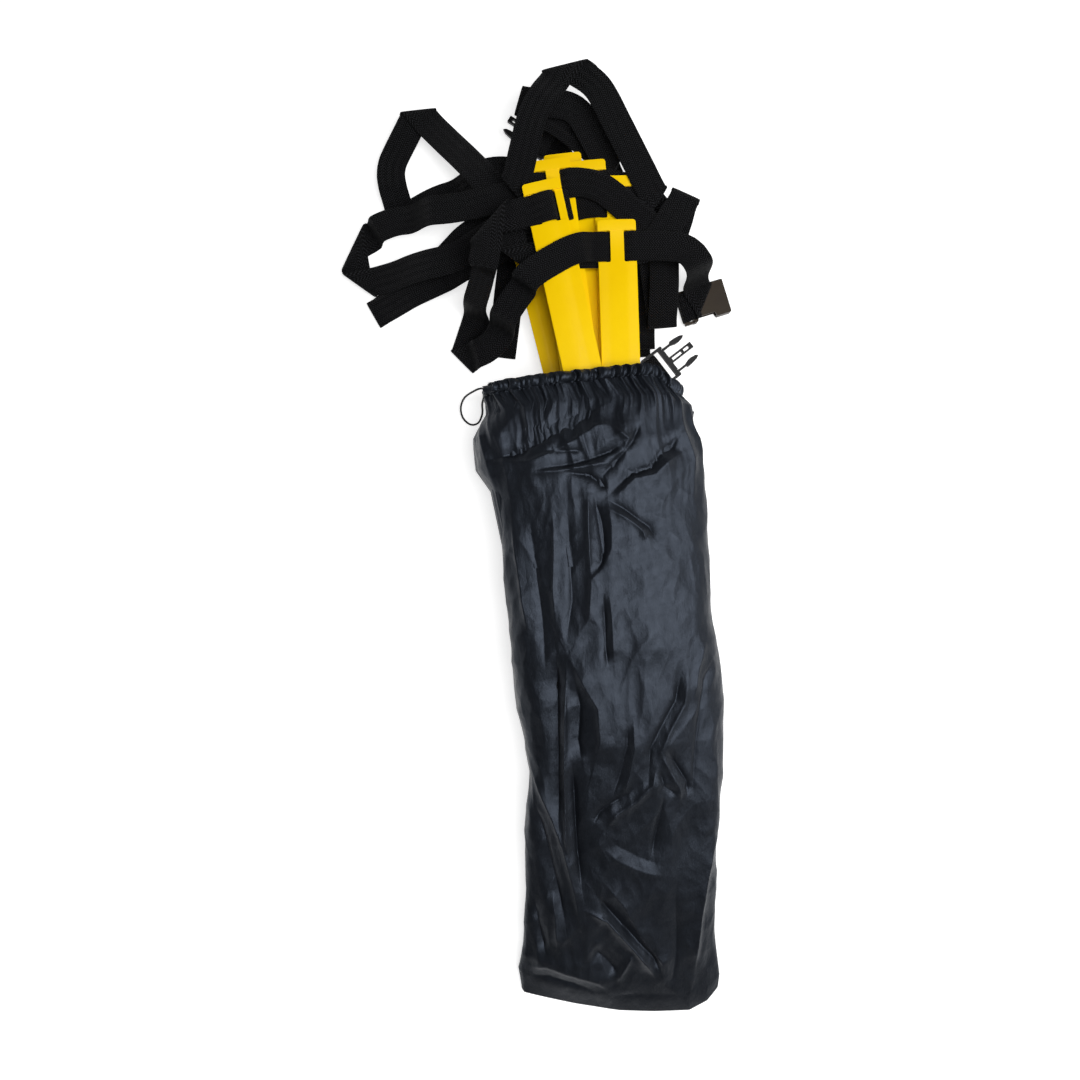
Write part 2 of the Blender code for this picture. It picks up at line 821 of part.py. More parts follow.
def make_foot_strap(lays, group, material):
    ribbon = Ribbon()
    first = lays[0]
    tail = [sketch_point(*point) for point in FOOT_FEMALE_TAIL]
    add_first_tail(ribbon, window_end(first, True, -foot_side(0)), tail, bar_place(FOOT_FEMALE_BAR))
    face = 1
    for number, lay in enumerate(lays):
        side = foot_side(number)
        add_window(ribbon, lay, True, side, face)
        if number + 1 < len(lays):
            start = window_end(lay, True, side)
            end = window_end(lays[number + 1], True, side)
            face = add_route(ribbon, start, foot_loop(lays, number), end, face)
    start = window_end(lays[-1], True, foot_side(len(lays) - 1))
    points = [sketch_point(*point) for point in FOOT_MALE_TAIL]
    add_bar_loop(ribbon, start, points, bar_place(FOOT_MALE_BAR), face)
    return add_mesh_object("foot_strap", ribbon.mesh("foot_strap"), group, material)


# Buckles. Each half is drawn with its bar along X at the origin and the strap behind it


def add_bar(shape, along=0.0):
    turned = Matrix.Translation((0, along, 0)) @ Matrix.Rotation(math.pi / 2, 4, "Y")
    bmesh.ops.create_cone(
        shape,
        cap_ends=True,
        segments=BAR_SIDES,
        radius1=BAR_DIAMETER / 2,
        radius2=BAR_DIAMETER / 2,
        depth=BUCKLE_WIDTH - FRAME_RAIL,
        matrix=turned,
    )


def join(obj, other):
    """Adds the other object's solid to this one and removes the other."""
    modifier = obj.modifiers.new("join", "BOOLEAN")
    modifier.operation = "UNION"
    modifier.object = other
    graph = bpy.context.evaluated_depsgraph_get()
    graph.update()
    mesh = bpy.data.meshes.new_from_object(obj.evaluated_get(graph))
    obj.modifiers.remove(modifier)
    obj.data = mesh
    bpy.data.objects.remove(other)


def point_buckle(obj, axis, way):
    """Sets a buckle half with its bar on the axis, pointing the given way."""
    obj.location = axis
    obj.rotation_euler = (0, 0, math.atan2(-way.x, way.y))


def bar_axis(bar):
    return bar_place(bar) + Vector((0, 0, bar_radius()))


def way_to_bar(points, bar):
    last = sketch_point(*points[-1]).place
    return flat(bar_place(bar) - last)


def add_prism(shape, outline, low, high):
    """A closed outline in plan, drawn up from low to high."""
    bottom = [shape.verts.new((x, y, low)) for x, y in outline]
    top = [shape.verts.new((x, y, high)) for x, y in outline]
    count = len(outline)
    shape.faces.new(list(reversed(bottom)))
    shape.faces.new(top)
    for k in range(count):
        following = (k + 1) % count
        shape.faces.new((bottom[k], bottom[following], top[following], top[k]))


def socket_outline(front, shoulder, waist, mouth):
    """Half of the socket's plan, from its rear to its mouth."""
    half = BUCKLE_WIDTH / 2
    narrow = WAIST_WIDTH / 2
    corner = BUCKLE_CORNER
    return (
        (half, front),
        (half, shoulder - corner),
        (half - corner, shoulder),
        (narrow, shoulder + corner),
        (narrow, waist - corner),
        (half - corner, waist),
        (half, waist + corner),
        (half, mouth - corner),
        (half - corner, mouth),
    )


def make_female(name, axis, way, group, cutters, material):
    """The socket half: a frame with a bar, shoulders, an open waist and a collar."""
    half = BUCKLE_WIDTH / 2
    thick = SOCKET_THICK / 2
    front = BAR_DIAMETER / 2 + BAR_SLOT
    shoulder = front + SHOULDER_LENGTH
    waist = shoulder + WAIST_LENGTH
    mouth = waist + COLLAR_LENGTH

    def body(shape):
        side = socket_outline(front, shoulder, waist, mouth)
        outline = side + tuple((-x, y) for x, y in reversed(side))
        add_prism(shape, outline, -thick, thick)

    def rails(shape):
        for side in (LEFT, RIGHT):
            low = min(side * half, side * (half - FRAME_RAIL))
            add_box(
                shape,
                (low, -BAR_DIAMETER / 2, -FRAME_THICK / 2),
                (low + FRAME_RAIL, front + BUCKLE_CORNER, FRAME_THICK / 2),
            )

    def hollow(shape):
        inner = half - SOCKET_WALL
        add_box(
            shape,
            (-inner, shoulder, SOCKET_WALL - thick),
            (inner, mouth + CUT_OVERRUN, thick - SOCKET_WALL),
        )

    obj = add_mesh_object(name, mesh_from(name, body), group, material)
    for build in (rails, add_bar):
        join(obj, add_mesh_object("piece", mesh_from("piece", build), cutters, None))
    cut(obj, add_cutter(name + "_hollow", hollow, cutters))
    point_buckle(obj, axis, way)


def make_male(name, axis, way, group, cutters, material):
    """The plug half: a frame with two bars and a crossbar, a guide and two sprung arms."""
    half = BUCKLE_WIDTH / 2
    thick = FRAME_THICK / 2
    rear_bar = -BAR_DIAMETER - REAR_SLOT
    front = BAR_DIAMETER / 2 + BAR_SLOT
    tip = front + CROSSBAR_LENGTH
    deep = thick + CUT_OVERRUN

    def blank(shape):
        low = (-half, rear_bar - BAR_DIAMETER / 2, -thick)
        add_box(shape, low, (half, tip, thick), BUCKLE_CORNER, 2)

    def window(shape):
        inner = half - FRAME_RAIL
        low = (-inner, rear_bar - BAR_DIAMETER / 2 - CUT_OVERRUN, -deep)
        add_box(shape, low, (inner, front, deep))

    def guide(shape):
        side = GUIDE_WIDTH / 2
        add_box(shape, (-side, tip - BUCKLE_CORNER, -thick), (side, tip + GUIDE_LENGTH, thick))

    def rear(shape):
        add_bar(shape, rear_bar)

    def slots(shape):
        side = GUIDE_SLOT / 2
        for start, end in GUIDE_SLOTS:
            low = (-side, tip + start * GUIDE_LENGTH, -deep)
            add_box(shape, low, (side, tip + end * GUIDE_LENGTH, deep))

    def seats(shape):
        for side in (LEFT, RIGHT):
            add_round(shape, (side * ARM_ACROSS, tip, 0), ARM_ROOT_RADIUS + FIT, 2 * deep)

    frame = add_mesh_object(name + "_frame", mesh_from(name, blank), group, material)
    cut(frame, add_cutter(name + "_window", window, cutters))
    for build in (add_bar, rear, guide):
        join(frame, add_mesh_object("piece", mesh_from("piece", build), cutters, None))
    cut(frame, add_cutter(name + "_slots", slots, cutters))
    cut(frame, add_cutter(name + "_seats", seats, cutters))
    point_buckle(frame, axis, way)
    for side, word in ((LEFT, "left"), (RIGHT, "right")):
        outline = [
            (side * across * ARM_HALF_DEPTH, along * ARM_LENGTH) for across, along in ARM_SHAPE
        ]
        if side == LEFT:
            outline.reverse()

        def blade(shape):
            add_prism(shape, outline, -ARM_HEIGHT / 2, ARM_HEIGHT / 2)

        def root(shape):
            add_round(shape, (0, 0, 0), ARM_ROOT_RADIUS, ARM_HEIGHT)

        arm = add_mesh_object(f"{name}_{word}_arm", mesh_from(name, blade), group, material)
        join(arm, add_mesh_object("piece", mesh_from("piece", root), cutters, None))
        point_buckle(arm, axis + frame_offset(way, side * ARM_ACROSS, tip), way)


def frame_offset(way, across, along):
    """A step in a buckle's own directions, in the world."""
    return Vector((way.y, -way.x, 0)) * across + way * along


def add_round(shape, middle, radius, height):
    """An upright cylinder."""
    bmesh.ops.create_cone(
        shape,
        cap_ends=True,
        segments=BAR_SIDES,
        radius1=radius,
        radius2=radius,
        depth=height,
        matrix=Matrix.Translation(middle),
    )


def make_buckles(group, cutters, material):
    way = head_female_way()
    make_female("head_socket", Vector(HEAD_FEMALE_AXIS), way, group, cutters, material)
    way = way_to_bar(FOOT_FEMALE_TAIL, FOOT_FEMALE_BAR)
    make_female("foot_socket", bar_axis(FOOT_FEMALE_BAR), way, group, cutters, material)
    way = way_to_bar(HEAD_MALE_TAIL, HEAD_MALE_BAR)
    make_male("head_plug", bar_axis(HEAD_MALE_BAR), way, group, cutters, material)
    way = way_to_bar(FOOT_MALE_TAIL, FOOT_MALE_BAR)
    make_male("foot_plug", bar_axis(FOOT_MALE_BAR), way, group, cutters, material)


# Bag


def section_place(section, degrees, inset):
    """A point of the bag's section, its skin set in by the inset."""
    along, left, right, height, lean, bow, set_back = section
    angle = math.radians(degrees)
    half = (right - left) * GRID / 2 - inset
    half_high = height * GRID / 2 - inset
    power = BAG_TOP_POWER if math.sin(angle) >= 0 else BAG_FLOOR_POWER
    side = math.copysign(abs(math.cos(angle)) ** (2 / power), math.cos(angle))
    rise = math.copysign(abs(math.sin(angle)) ** (2 / power), math.sin(angle))
    x = (left + right) * GRID / 2 + half * side
    z = height * GRID / 2 + half_high * rise - BAG_FLOOR_CUT
    share = 2 * x / ((right - left) * GRID)
    y = along * GRID + lean * x - bow * GRID * max(0, 1 - share * share)
    near_end = max(0, (x / (right * GRID) - SET_BACK_SHARE) / (1 - SET_BACK_SHARE))
    y -= set_back * GRID * ease(min(near_end, 1))
    return Vector((x, y, max(z, inset)))


def bag_ring(shape, section, inset, shift=0.0):
    ring = []
    for k in range(BAG_SIDES):
        place = section_place(section, 360 * k / BAG_SIDES, inset)
        place.y += shift
        ring.append(shape.verts.new(place))
    return ring


def bridge(shape, ring, following):
    count = len(ring)
    for k in range(count):
        after = (k + 1) % count
        shape.faces.new((ring[k], ring[after], following[after], following[k]))


def make_bag(group, material):
    """The bag's skin: outside and inside rings joined round the mouth."""

    def build(shape):
        outer = [bag_ring(shape, section, 0) for section in BAG_SECTIONS]
        inner = [bag_ring(shape, section, BAG_WALL) for section in BAG_SECTIONS[:-1]]
        inner.append(bag_ring(shape, BAG_SECTIONS[-1], BAG_WALL, BAG_WALL))
        for rings in (outer, inner):
            for ring, following in zip(rings, rings[1:]):
                bridge(shape, ring, following)
            shape.faces.new(rings[-1])
        bridge(shape, outer[0], inner[0])

    add_mesh_object("bag_body", mesh_from("bag_body", build), group, material, smooth=True)


def hem_place(step, out=0.0, along=0.0):
    """A place in the drawcord's channel, which keeps to the steps of the bag's rim."""
    place = section_place(BAG_SECTIONS[0], hem_degrees(step), CHANNEL_THICK / 2 - out)
    place.y += HEM_GAP + CHANNEL_LENGTH / 2 + along
    return place


def hem_steps():
    return BAG_SIDES - 2 * CHANNEL_MOUTH_STEPS


def hem_degrees(step):
    """From the channel's lower end round the mouth to its upper end."""
    return 180 + 360 * (CHANNEL_MOUTH_STEPS + step) / BAG_SIDES


def make_channel(group, material):
    """The hem that the drawcord runs in, a flat tube with an open end at each side of the gap."""
    half_thick = CHANNEL_THICK / 2
    half_long = CHANNEL_LENGTH / 2
    bore = CORD_DIAMETER / 2 + CORD_PLAY
    skin = [(-half_thick, -half_long), (half_thick, -half_long)]
    skin += [(half_thick, half_long), (-half_thick, half_long)]
    hole = [(-bore, -bore), (bore, -bore), (bore, bore), (-bore, bore)]

    def build(shape):
        rings = []
        for step in range(hem_steps() + 1):
            rings.append(
                [
                    [shape.verts.new(hem_place(step, out, along)) for out, along in outline]
                    for outline in (skin, hole)
                ]
            )
        for first, following in zip(rings, rings[1:]):
            bridge(shape, first[0], following[0])
            bridge(shape, first[1], following[1])
        bridge(shape, rings[0][0], rings[0][1])
        bridge(shape, rings[-1][0], rings[-1][1])

    add_mesh_object("cord_channel", mesh_from("cord_channel", build), group, material)


def add_cord(name, places, group, material):
    """A round cord through the given places."""

    def build(shape):
        rings = []
        last = len(places) - 1
        across = Vector((0, 1, 0))
        for i, place in enumerate(places):
            tangent = (places[min(i + 1, last)] - places[max(i - 1, 0)]).normalized()
            across = (across - tangent * across.dot(tangent)).normalized()
            other = tangent.cross(across)
            ring = []
            for k in range(CORD_SIDES):
                angle = 2 * math.pi * k / CORD_SIDES
                spoke = across * math.cos(angle) + other * math.sin(angle)
                ring.append(shape.verts.new(place + spoke * (CORD_DIAMETER / 2)))
            rings.append(ring)
        for ring, following in zip(rings, rings[1:]):
            bridge(shape, ring, following)
        shape.faces.new(rings[0])
        shape.faces.new(rings[-1])

    add_mesh_object(name, mesh_from(name, build), group, material, smooth=True)


def make_cords(group, material):
    held = [hem_place(step) for step in range(hem_steps() + 1)]
    add_cord("drawcord", held, group, material)
    upper_way = (held[-1] - held[-2]).normalized()
    lower_way = (held[0] - held[1]).normalized()
    upper = [held[-1] + upper_way * lead for lead in (FIT, CORD_LEAD)]
    lower = [held[0] + lower_way * lead for lead in (CORD_LEAD, FIT)]
    free = [Vector((across * GRID, along * GRID, up * GRID)) for across, along, up in CORD_LOOP]
    add_cord("drawcord_loop", [*upper, *free, *lower], group, material)


def main():
    clear_scene()
    group = new_collection("agility_ladder")
    cutters = new_collection("cutters")
    yellow = make_material("yellow_plastic", (0.98, 0.66, 0.0), 0.35)
    webbing = make_material("black_webbing", (0.012, 0.012, 0.014), 0.8)
    plastic = make_material("black_plastic", (0.03, 0.025, 0.02), 0.4)
    nylon = make_material("black_nylon", (0.03, 0.032, 0.038), 0.6)
    cord = make_material("black_cord", (0.008, 0.008, 0.008), 0.85)
    lays = [RungLay(*lay) for lay in RUNG_LAYS]
    make_rungs(lays, group, cutters, yellow)
    make_head_strap(lays, group, webbing)
    make_foot_strap(lays, group, webbing)
    make_buckles(group, cutters, plastic)
    make_bag(group, nylon)
    make_channel(group, nylon)
    make_cords(group, cord)


main()
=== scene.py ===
"""Looks of the agility ladder that lies half pulled out of its drawstring bag.

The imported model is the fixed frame. The webbing is woven along the same way as
its solids, the rungs get a crowned face and soft edges, and the bag's skin gets
its folds, gathers and ruffled hem. Units are metres.
"""

import math

import bmesh
import bpy
import numpy as np
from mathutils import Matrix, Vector, noise


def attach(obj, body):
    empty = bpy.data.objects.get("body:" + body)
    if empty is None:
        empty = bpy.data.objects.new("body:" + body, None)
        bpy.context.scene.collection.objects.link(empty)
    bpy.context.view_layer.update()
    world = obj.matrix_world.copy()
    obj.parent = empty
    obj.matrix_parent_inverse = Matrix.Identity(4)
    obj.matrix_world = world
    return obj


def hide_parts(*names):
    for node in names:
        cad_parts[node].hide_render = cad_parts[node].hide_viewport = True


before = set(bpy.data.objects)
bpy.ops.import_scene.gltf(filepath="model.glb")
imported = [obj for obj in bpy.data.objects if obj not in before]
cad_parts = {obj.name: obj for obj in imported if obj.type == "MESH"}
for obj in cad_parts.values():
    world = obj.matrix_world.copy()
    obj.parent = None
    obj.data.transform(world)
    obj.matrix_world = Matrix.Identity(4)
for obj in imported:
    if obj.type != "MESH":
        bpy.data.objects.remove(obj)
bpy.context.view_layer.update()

# The way of the rungs and the straps, as the solids have it

RUNG_LENGTH = 0.420
RUNG_WIDTH = 0.036
RUNG_THICK = 0.0040
HEAD_LENGTH = 0.0100
NECK_WIDTH = 0.0127
NECK_TOP_INSET = 0.0003
SLOT_WIDTH = 0.0045
STRIP_THICK = 0.0020
WEB_WIDTH = 0.028
WEB_THICK = 0.0012
WEB_SIDE_PLAY = 0.0008
FIT = 0.0003
FOLD_RADIUS = 0.0010
FOLD_STEPS = 5
LEAST_SLIDE = 0.001
LOOSE_RADIUS = 0.0030
BEND_REACH = 0.016
BEND_REACH_SHARE = 0.45
BEND_STEPS = 4
RUN_STEP = 0.030
LEAST_STEP = 0.0002
EXIT_REACH = 0.0040
BED_HEIGHT = 0.0050
LAYER_GAP = 0.0004
LAYER_PITCH = RUNG_THICK + LAYER_GAP
BAG_FLOOR_CUT = 0.0010
BAG_SIDES = 36
BAG_TOP_POWER = 2.6
BAG_FLOOR_POWER = 5.0
CORD_DIAMETER = 0.0020
CORD_LEAD = 0.0025
HEM_GAP = 0.0008
CHANNEL_LENGTH = 0.0100
CHANNEL_THICK = 0.0044
CHANNEL_MOUTH_STEPS = 1
BAR_DIAMETER = 0.0030
FLAP_LENGTH = 0.0120
WINDOW_MIDDLE = HEAD_LENGTH + (WEB_WIDTH + 2 * WEB_SIDE_PLAY) / 2
NECK_EDGE = NECK_WIDTH / 2 + FIT
STRIP_EDGE = NECK_WIDTH / 2 + SLOT_WIDTH - FIT
SIDE_EDGE = RUNG_WIDTH / 2 + EXIT_REACH
BAR_RADIUS = BAR_DIAMETER / 2 + FIT + WEB_THICK / 2
GRID = 0.010
OVER = 1
UNDER = -1
LEFT = -1
RIGHT = 1
# Layer, the head's place across and along, the foot's place across, and the sides by which
# the strap comes and goes; places are in steps of the grid
RUNG_LAYS = (
    (1, 1.4, 47.8, 1.2, LEFT, RIGHT),
    (2, -1.4, 48.2, 2.2, RIGHT, LEFT),
    (3, -2.4, 47.0, 0.4, LEFT, RIGHT),
    (4, -6.0, 50.0, 2.0, RIGHT, LEFT),
    (5, 0.0, 49.0, 1.4, LEFT, RIGHT),
    (6, -1.4, 53.0, 1.0, RIGHT, LEFT),
    (7, 0.9, 46.2, 2.2, LEFT, RIGHT),
    (8, 0.8, 51.8, 2.6, RIGHT, LEFT),
    (9, 3.2, 50.0, 2.2, LEFT, RIGHT),
    (10, -2.6, 51.7, 0.8, LEFT, RIGHT),
    (12, -3.7, 49.3, 3.2, LEFT, LEFT),
    (11, 3.2, 45.5, 2.2, LEFT, RIGHT),
)
# The strap's way from each rung to the next: across, along, height in layers, fold, roll
HEAD_LOOPS = (
    ((5.2, 45.2, 1.0, UNDER), (5.0, 33.8, -0.5, OVER), (5.2, 45.9, 1.55, OVER)),
    ((-6.4, 45.2, 2.0, UNDER), (-8.4, 34.5, -0.5, OVER), (-6.6, 44.6, 2.55, OVER)),
    (
        (5.6, 44.7, 3.0, UNDER), (5.4, 34.4, 0.9, OVER), (5.6, 42.4, 3.55),
        (5.8, 48.0, 3.55, OVER),
    ),
    (
        (-10.0, 46.6, 4.0), (-15.0, 42.8, 2.0), (-20.8, 39.3, -0.4, OVER), (-15.0, 41.6, 2.7),
        (-9.0, 44.0, 5.0),
    ),
    (
        (4.4, 46.6, 5.0, OVER), (2.4, 53.0, 4.6), (-1.8, 56.6, 5.0), (-5.2, 58.4, 5.4, OVER),
        (0.2, 57.4, 6.4), (3.4, 50.9, 6.45, UNDER),
    ),
    (
        (-7.2, 52.0, 5.6), (-14.0, 50.5, -0.4), (-17.6, 48.6, -0.4, OVER), (-18.5, 53.4, 1.6),
        (-15.2, 58.6, 2.6, OVER), (-8.0, 49.6, 7.0), (-4.8, 44.6, 7.0),
    ),
    (
        (6.6, 43.8, 7.0, UNDER), (7.4, 36.0, 4.4, OVER), (7.7, 41.4, 7.55),
        (8.0, 48.0, 7.55, OVER),
    ),
    (
        (-6.0, 48.9, 8.0), (-12.5, 48.0, 7.5), (-18.4, 48.0, 3.0), (-22.4, 46.0, 0.6, OVER),
        (-22.0, 42.2, 1.1, OVER), (-12.8, 43.3, 6.6), (-6.4, 46.2, 9.0),
    ),
    (
        (7.2, 47.3, 9.0, OVER), (2.1, 58.8, 9.6), (-0.7, 60.4, 9.8, OVER), (-3.9, 56.4, 11.0),
        (-6.2, 49.0, 10.3, UNDER),
    ),
    (
        (1.9, 49.0, 10.0), (6.0, 45.2, 9.75), (8.3, 43.2, 8.6, UNDER),
        (9.9, 47.6, 8.5, OVER, 0, LOOSE_RADIUS), (6.6, 42.9, 10.15), (2.9, 42.6, 10.15),
        (-1.6, 42.6, 10.7), (-6.4, 42.4, 10.8, UNDER), (-7.0, 46.2, 10.2, OVER),
    ),
    (
        (-8.6, 45.9, 12.0, OVER), (-9.1, 43.2, 12.4), (-9.8, 40.6, 9.0, 0, 45),
        (-11.4, 36.4, -0.3), (-12.3, 34.2, -0.3, OVER), (-9.4, 35.0, 2.6), (-6.8, 38.8, 9.5),
        (-5.0, 40.8, 12.7), (-1.2, 42.7, 12.7),
    ),
)
HEAD_MALE_TAIL = ((-3.8, 45.5, 1.0, UNDER), (-0.1, 53.4, -0.6, OVER), (-1.85, 54.69, -0.35))
HEAD_FEMALE_TAIL = ((9.9, 42.6, 10.9), (11.8, 38.6, 2.15, UNDER))
HEAD_FEMALE_AXIS = (0.0976, 0.3809, 0.0044)
HEAD_FEMALE_TURN = 14
BACK_OVER_PROFILE = (
    (6.0, 6.6), (2.0, 5.5), (-1.2, 3.4), (-2.5, 0.8), (-2.2, -1.4), (-0.4, -2.5), (1.8, -2.1),
    (3.4, -0.4), (4.4, 2.2), (6.0, 4.7), (8.5, 5.1), (16.0, 5.1),
)
PROFILE_STEP = 0.001
HEAD_MALE_BAR = (-3.3, 55.75, -0.35)
FOOT_RIGHT = 0.0680
FOOT_LEFT = -0.0440
FOOT_SHOULDER = 0.0430
FOOT_TURN = -0.0720
FOOT_SETTLE_SHARE = 0.62
FOOT_FEMALE_TAIL = ((6.8, 8.5, 1.0, UNDER), (6.8, 2.0, 0.2), (5.9, -7.0, 0.2))
FOOT_FEMALE_BAR = (5.8, -10.5, 0.2)
FOOT_MALE_TAIL = (
    (6.8, 6.1, 11.0, UNDER), (6.8, 16.0, 10.55), (5.9, 22.0, 7.6), (4.1, 29.91, 5.48),
)
FOOT_MALE_BAR = (6.9, 31.84, 5.48)
# Along, left, right, height, lean, bow and set-back of the bag's sections, from rim to end
BAG_SECTIONS = (
    (30.4, -9.8, 8.3, 6.6, 0.055, 0.0, 1.9),
    (28.6, -9.6, 9.3, 6.8, 0.045, 0.0, 1.2),
    (24.7, -11.4, 10.0, 7.0, 0.020, 0.0, 0.2),
    (20.1, -9.6, 10.6, 6.9, 0.0, 0.0, 0.0),
    (14.2, -9.1, 10.7, 6.9, 0.0, 0.0, 0.0),
    (5.4, -8.7, 11.0, 6.9, 0.0, 0.0, 0.0),
    (-3.5, -8.1, 11.0, 6.2, 0.0, 0.0, 0.0),
    (-12.3, -8.8, 9.8, 4.8, 0.0, 0.0, 0.0),
    (-18.2, -8.9, 9.8, 3.8, 0.0, 0.2, 0.0),
    (-24.5, -9.8, 10.0, 2.4, 0.0, 1.0, 0.0),
    (-28.6, -10.2, 10.1, 0.8, 0.0, 2.5, 0.0),
)
BAG_RIM = BAG_SECTIONS[0][0] * GRID
BAG_END = BAG_SECTIONS[-1][0] * GRID
SET_BACK_SHARE = 0.62
CORD_LOOP = (
    (-10.0, 30.7, 3.4), (-10.5, 30.9, 2.9), (-11.2, 30.8, 2.3), (-12.2, 30.4, 1.4),
    (-12.7, 29.6, 0.7), (-12.6, 28.6, 0.25), (-11.9, 27.9, 0.13), (-11.1, 28.0, 0.2),
    (-10.6, 28.8, 0.8), (-10.5, 29.6, 1.8), (-10.2, 30.2, 2.4), (-9.8, 30.4, 2.4),
)


class RungLay:
    """Where one rung lies: its layer, the plan place of its head's end and its direction."""

    def __init__(self, layer, across, along, foot_across, entry, leave):
        self.layer = layer
        self.entry = entry
        self.leave = leave
        self.tip = Vector((across * GRID, along * GRID, 0))
        self.lean = math.asin((foot_across * GRID - self.tip.x) / RUNG_LENGTH)
        self.up = Vector((-math.sin(self.lean), math.cos(self.lean), 0))
        self.out = Vector((math.cos(self.lean), math.sin(self.lean), 0))
        self.bottom = BED_HEIGHT + (layer - 1) * LAYER_PITCH

    def window(self, at_foot):
        """The plan middle of the strap window at the head or at the foot."""
        down = RUNG_LENGTH - WINDOW_MIDDLE if at_foot else WINDOW_MIDDLE
        return self.tip - self.up * down


def level(layers):
    """The height of a strap that leaves a rung in this layer over its outer strip."""
    over_strip = STRIP_THICK + FIT + WEB_THICK / 2
    return BED_HEIGHT + (layers - 1) * LAYER_PITCH + over_strip


def meets(ruling, following):
    """Whether the following ruling isn't clear ahead of this one at both its ends."""
    step = following[0] - ruling[0]
    way = step.normalized()
    turn = following[1] - ruling[1]
    return min((step + turn).dot(way), (step - turn).dot(way)) < LEAST_STEP


class Ribbon:
    """A folded flat strap, held as rulings: lines that lie straight across it."""

    def __init__(self):
        self.rulings = []

    def add(self, middle, half_line, fixed=False):
        """Adds a ruling unless it meets the last one; a fixed one drops those that it meets."""
        ruling = (middle.copy(), half_line.copy(), fixed)
        while self.rulings and meets(self.rulings[-1], ruling):
            if self.rulings[-1][2]:
                if not fixed:
                    return
                break
            self.rulings.pop()
        self.rulings.append(ruling)


def flat(vector):
    return Vector((vector.x, vector.y, 0)).normalized()


class RoutePoint:
    """A place where a strap folds over, folds under or only bends."""

    def __init__(self, place, fold=0, roll=0.0, radius=FOLD_RADIUS):
        self.place = place
        self.fold = fold
        self.roll = math.radians(roll)
        self.radius = radius


def grid_place(across, along, layers):
    return Vector((across * GRID, along * GRID, level(layers)))


def sketch(points):
    return [RoutePoint(grid_place(*point[:3]), *point[3:]) for point in points]


def across_line(direction, face, roll=0.0):
    """Half the strap's width, square to its plan direction and rolled about it."""
    flat_line = Vector((-direction.y, direction.x, 0)) * face
    return (flat_line * math.cos(roll) + Vector((0, 0, math.sin(roll)))) * (WEB_WIDTH / 2)


def add_fold(ribbon, point, arriving, leaving, face):
    """Rolls the strap over a crease, which mirrors its direction, and turns its face."""
    radius = point.radius
    normal = (arriving - leaving).normalized()
    crease = arriving + leaving
    slide = crease.length / (arriving - leaving).length
    crease = crease.normalized() if slide > LEAST_SLIDE else Vector((-normal.y, normal.x, 0))
    arriving_line = Vector((-arriving.y, arriving.x, 0)) * face
    toward = 1 if crease.dot(arriving_line) > 0 else -1
    half_line = crease * (toward * WEB_WIDTH / 2 * math.sqrt(1 + slide * slide))
    start = point.place - crease * (math.pi / 2 * radius * slide)
    lift = Vector((0, 0, point.fold))
    for step in range(FOLD_STEPS + 1):
        angle = math.pi * step / FOLD_STEPS
        middle = (
            start
            + normal * (radius * math.sin(angle))
            + lift * (radius * (1 - math.cos(angle)))
            + crease * (radius * angle * slide)
        )
        ribbon.add(middle, half_line, True)
    return ribbon.rulings[-1][0]


def ease(share):
    return share * share * (3 - 2 * share)


def add_run(ribbon, start, end, face, start_roll=0.0, end_roll=0.0, start_gap=0.0, end_gap=0.0):
    """Rulings square to a straight run, between the gaps that its ends keep free."""
    way = flat(end - start)
    plan_length = (end - start).to_2d().length
    clear = plan_length - start_gap - end_gap
    if clear <= 0:
        return
    steps = max(1, math.ceil(clear / RUN_STEP))
    for step in range(steps + 1):
        share = (start_gap + clear * step / steps) / plan_length
        middle = start.lerp(end, share)
        middle.z = start.z + (end.z - start.z) * ease(step / steps)
        roll = start_roll + (end_roll - start_roll) * step / steps
        ribbon.add(middle, across_line(way, face, roll))


def crease_gap(arriving, leaving, radius):
    """How far along the run an oblique crease reaches."""
    slide = (arriving + leaving).length / (arriving - leaving).length
    return (WEB_WIDTH / 2 + math.pi / 2 * radius) * slide + 2 * LEAST_STEP


def add_route(ribbon, start, points, end, face):
    """The strap from a window through the route's points to the next window."""
    here = start
    roll = 0.0
    start_gap = 0.0
    for index, point in enumerate(points):
        following = points[index + 1].place if index + 1 < len(points) else end
        arriving = flat(point.place - here)
        leaving = flat(following - point.place)
        if point.fold:
            gap = crease_gap(arriving, leaving, point.radius)
            add_run(ribbon, here, point.place, face, roll, 0.0, start_gap, gap)
            last = add_fold(ribbon, point, arriving, leaving, face)
            here = Vector((point.place.x, point.place.y, last.z))
            face = -face
            roll = 0.0
            start_gap = gap
        else:
            reach_in = min(BEND_REACH, (point.place - here).length * BEND_REACH_SHARE)
            onward = (following - point.place).length
            reach_out = min(BEND_REACH, onward * BEND_REACH_SHARE)
            entry = point.place - arriving * reach_in
            leave = point.place + leaving * reach_out
            entry.z = point.place.z
            leave.z = point.place.z
            add_run(ribbon, here, entry, face, roll, point.roll, start_gap)
            for step in range(1, BEND_STEPS):
                share = step / BEND_STEPS
                first = entry.lerp(point.place, share)
                second = point.place.lerp(leave, share)
                ribbon.add(
                    first.lerp(second, share), across_line(flat(second - first), face, point.roll)
                )
            ribbon.add(leave, across_line(leaving, face, point.roll))
            here = leave
            roll = point.roll
            start_gap = 0.0
    add_run(ribbon, here, end, face, roll, start_gap=start_gap)
    return face


def add_profile(ribbon, middle, way, line, profile):
    """Fixed rulings over a rung, each so far along the way from its middle and so high."""
    for offset, height in profile:
        place = middle + way * offset
        place.z = height
        ribbon.add(place, line, True)


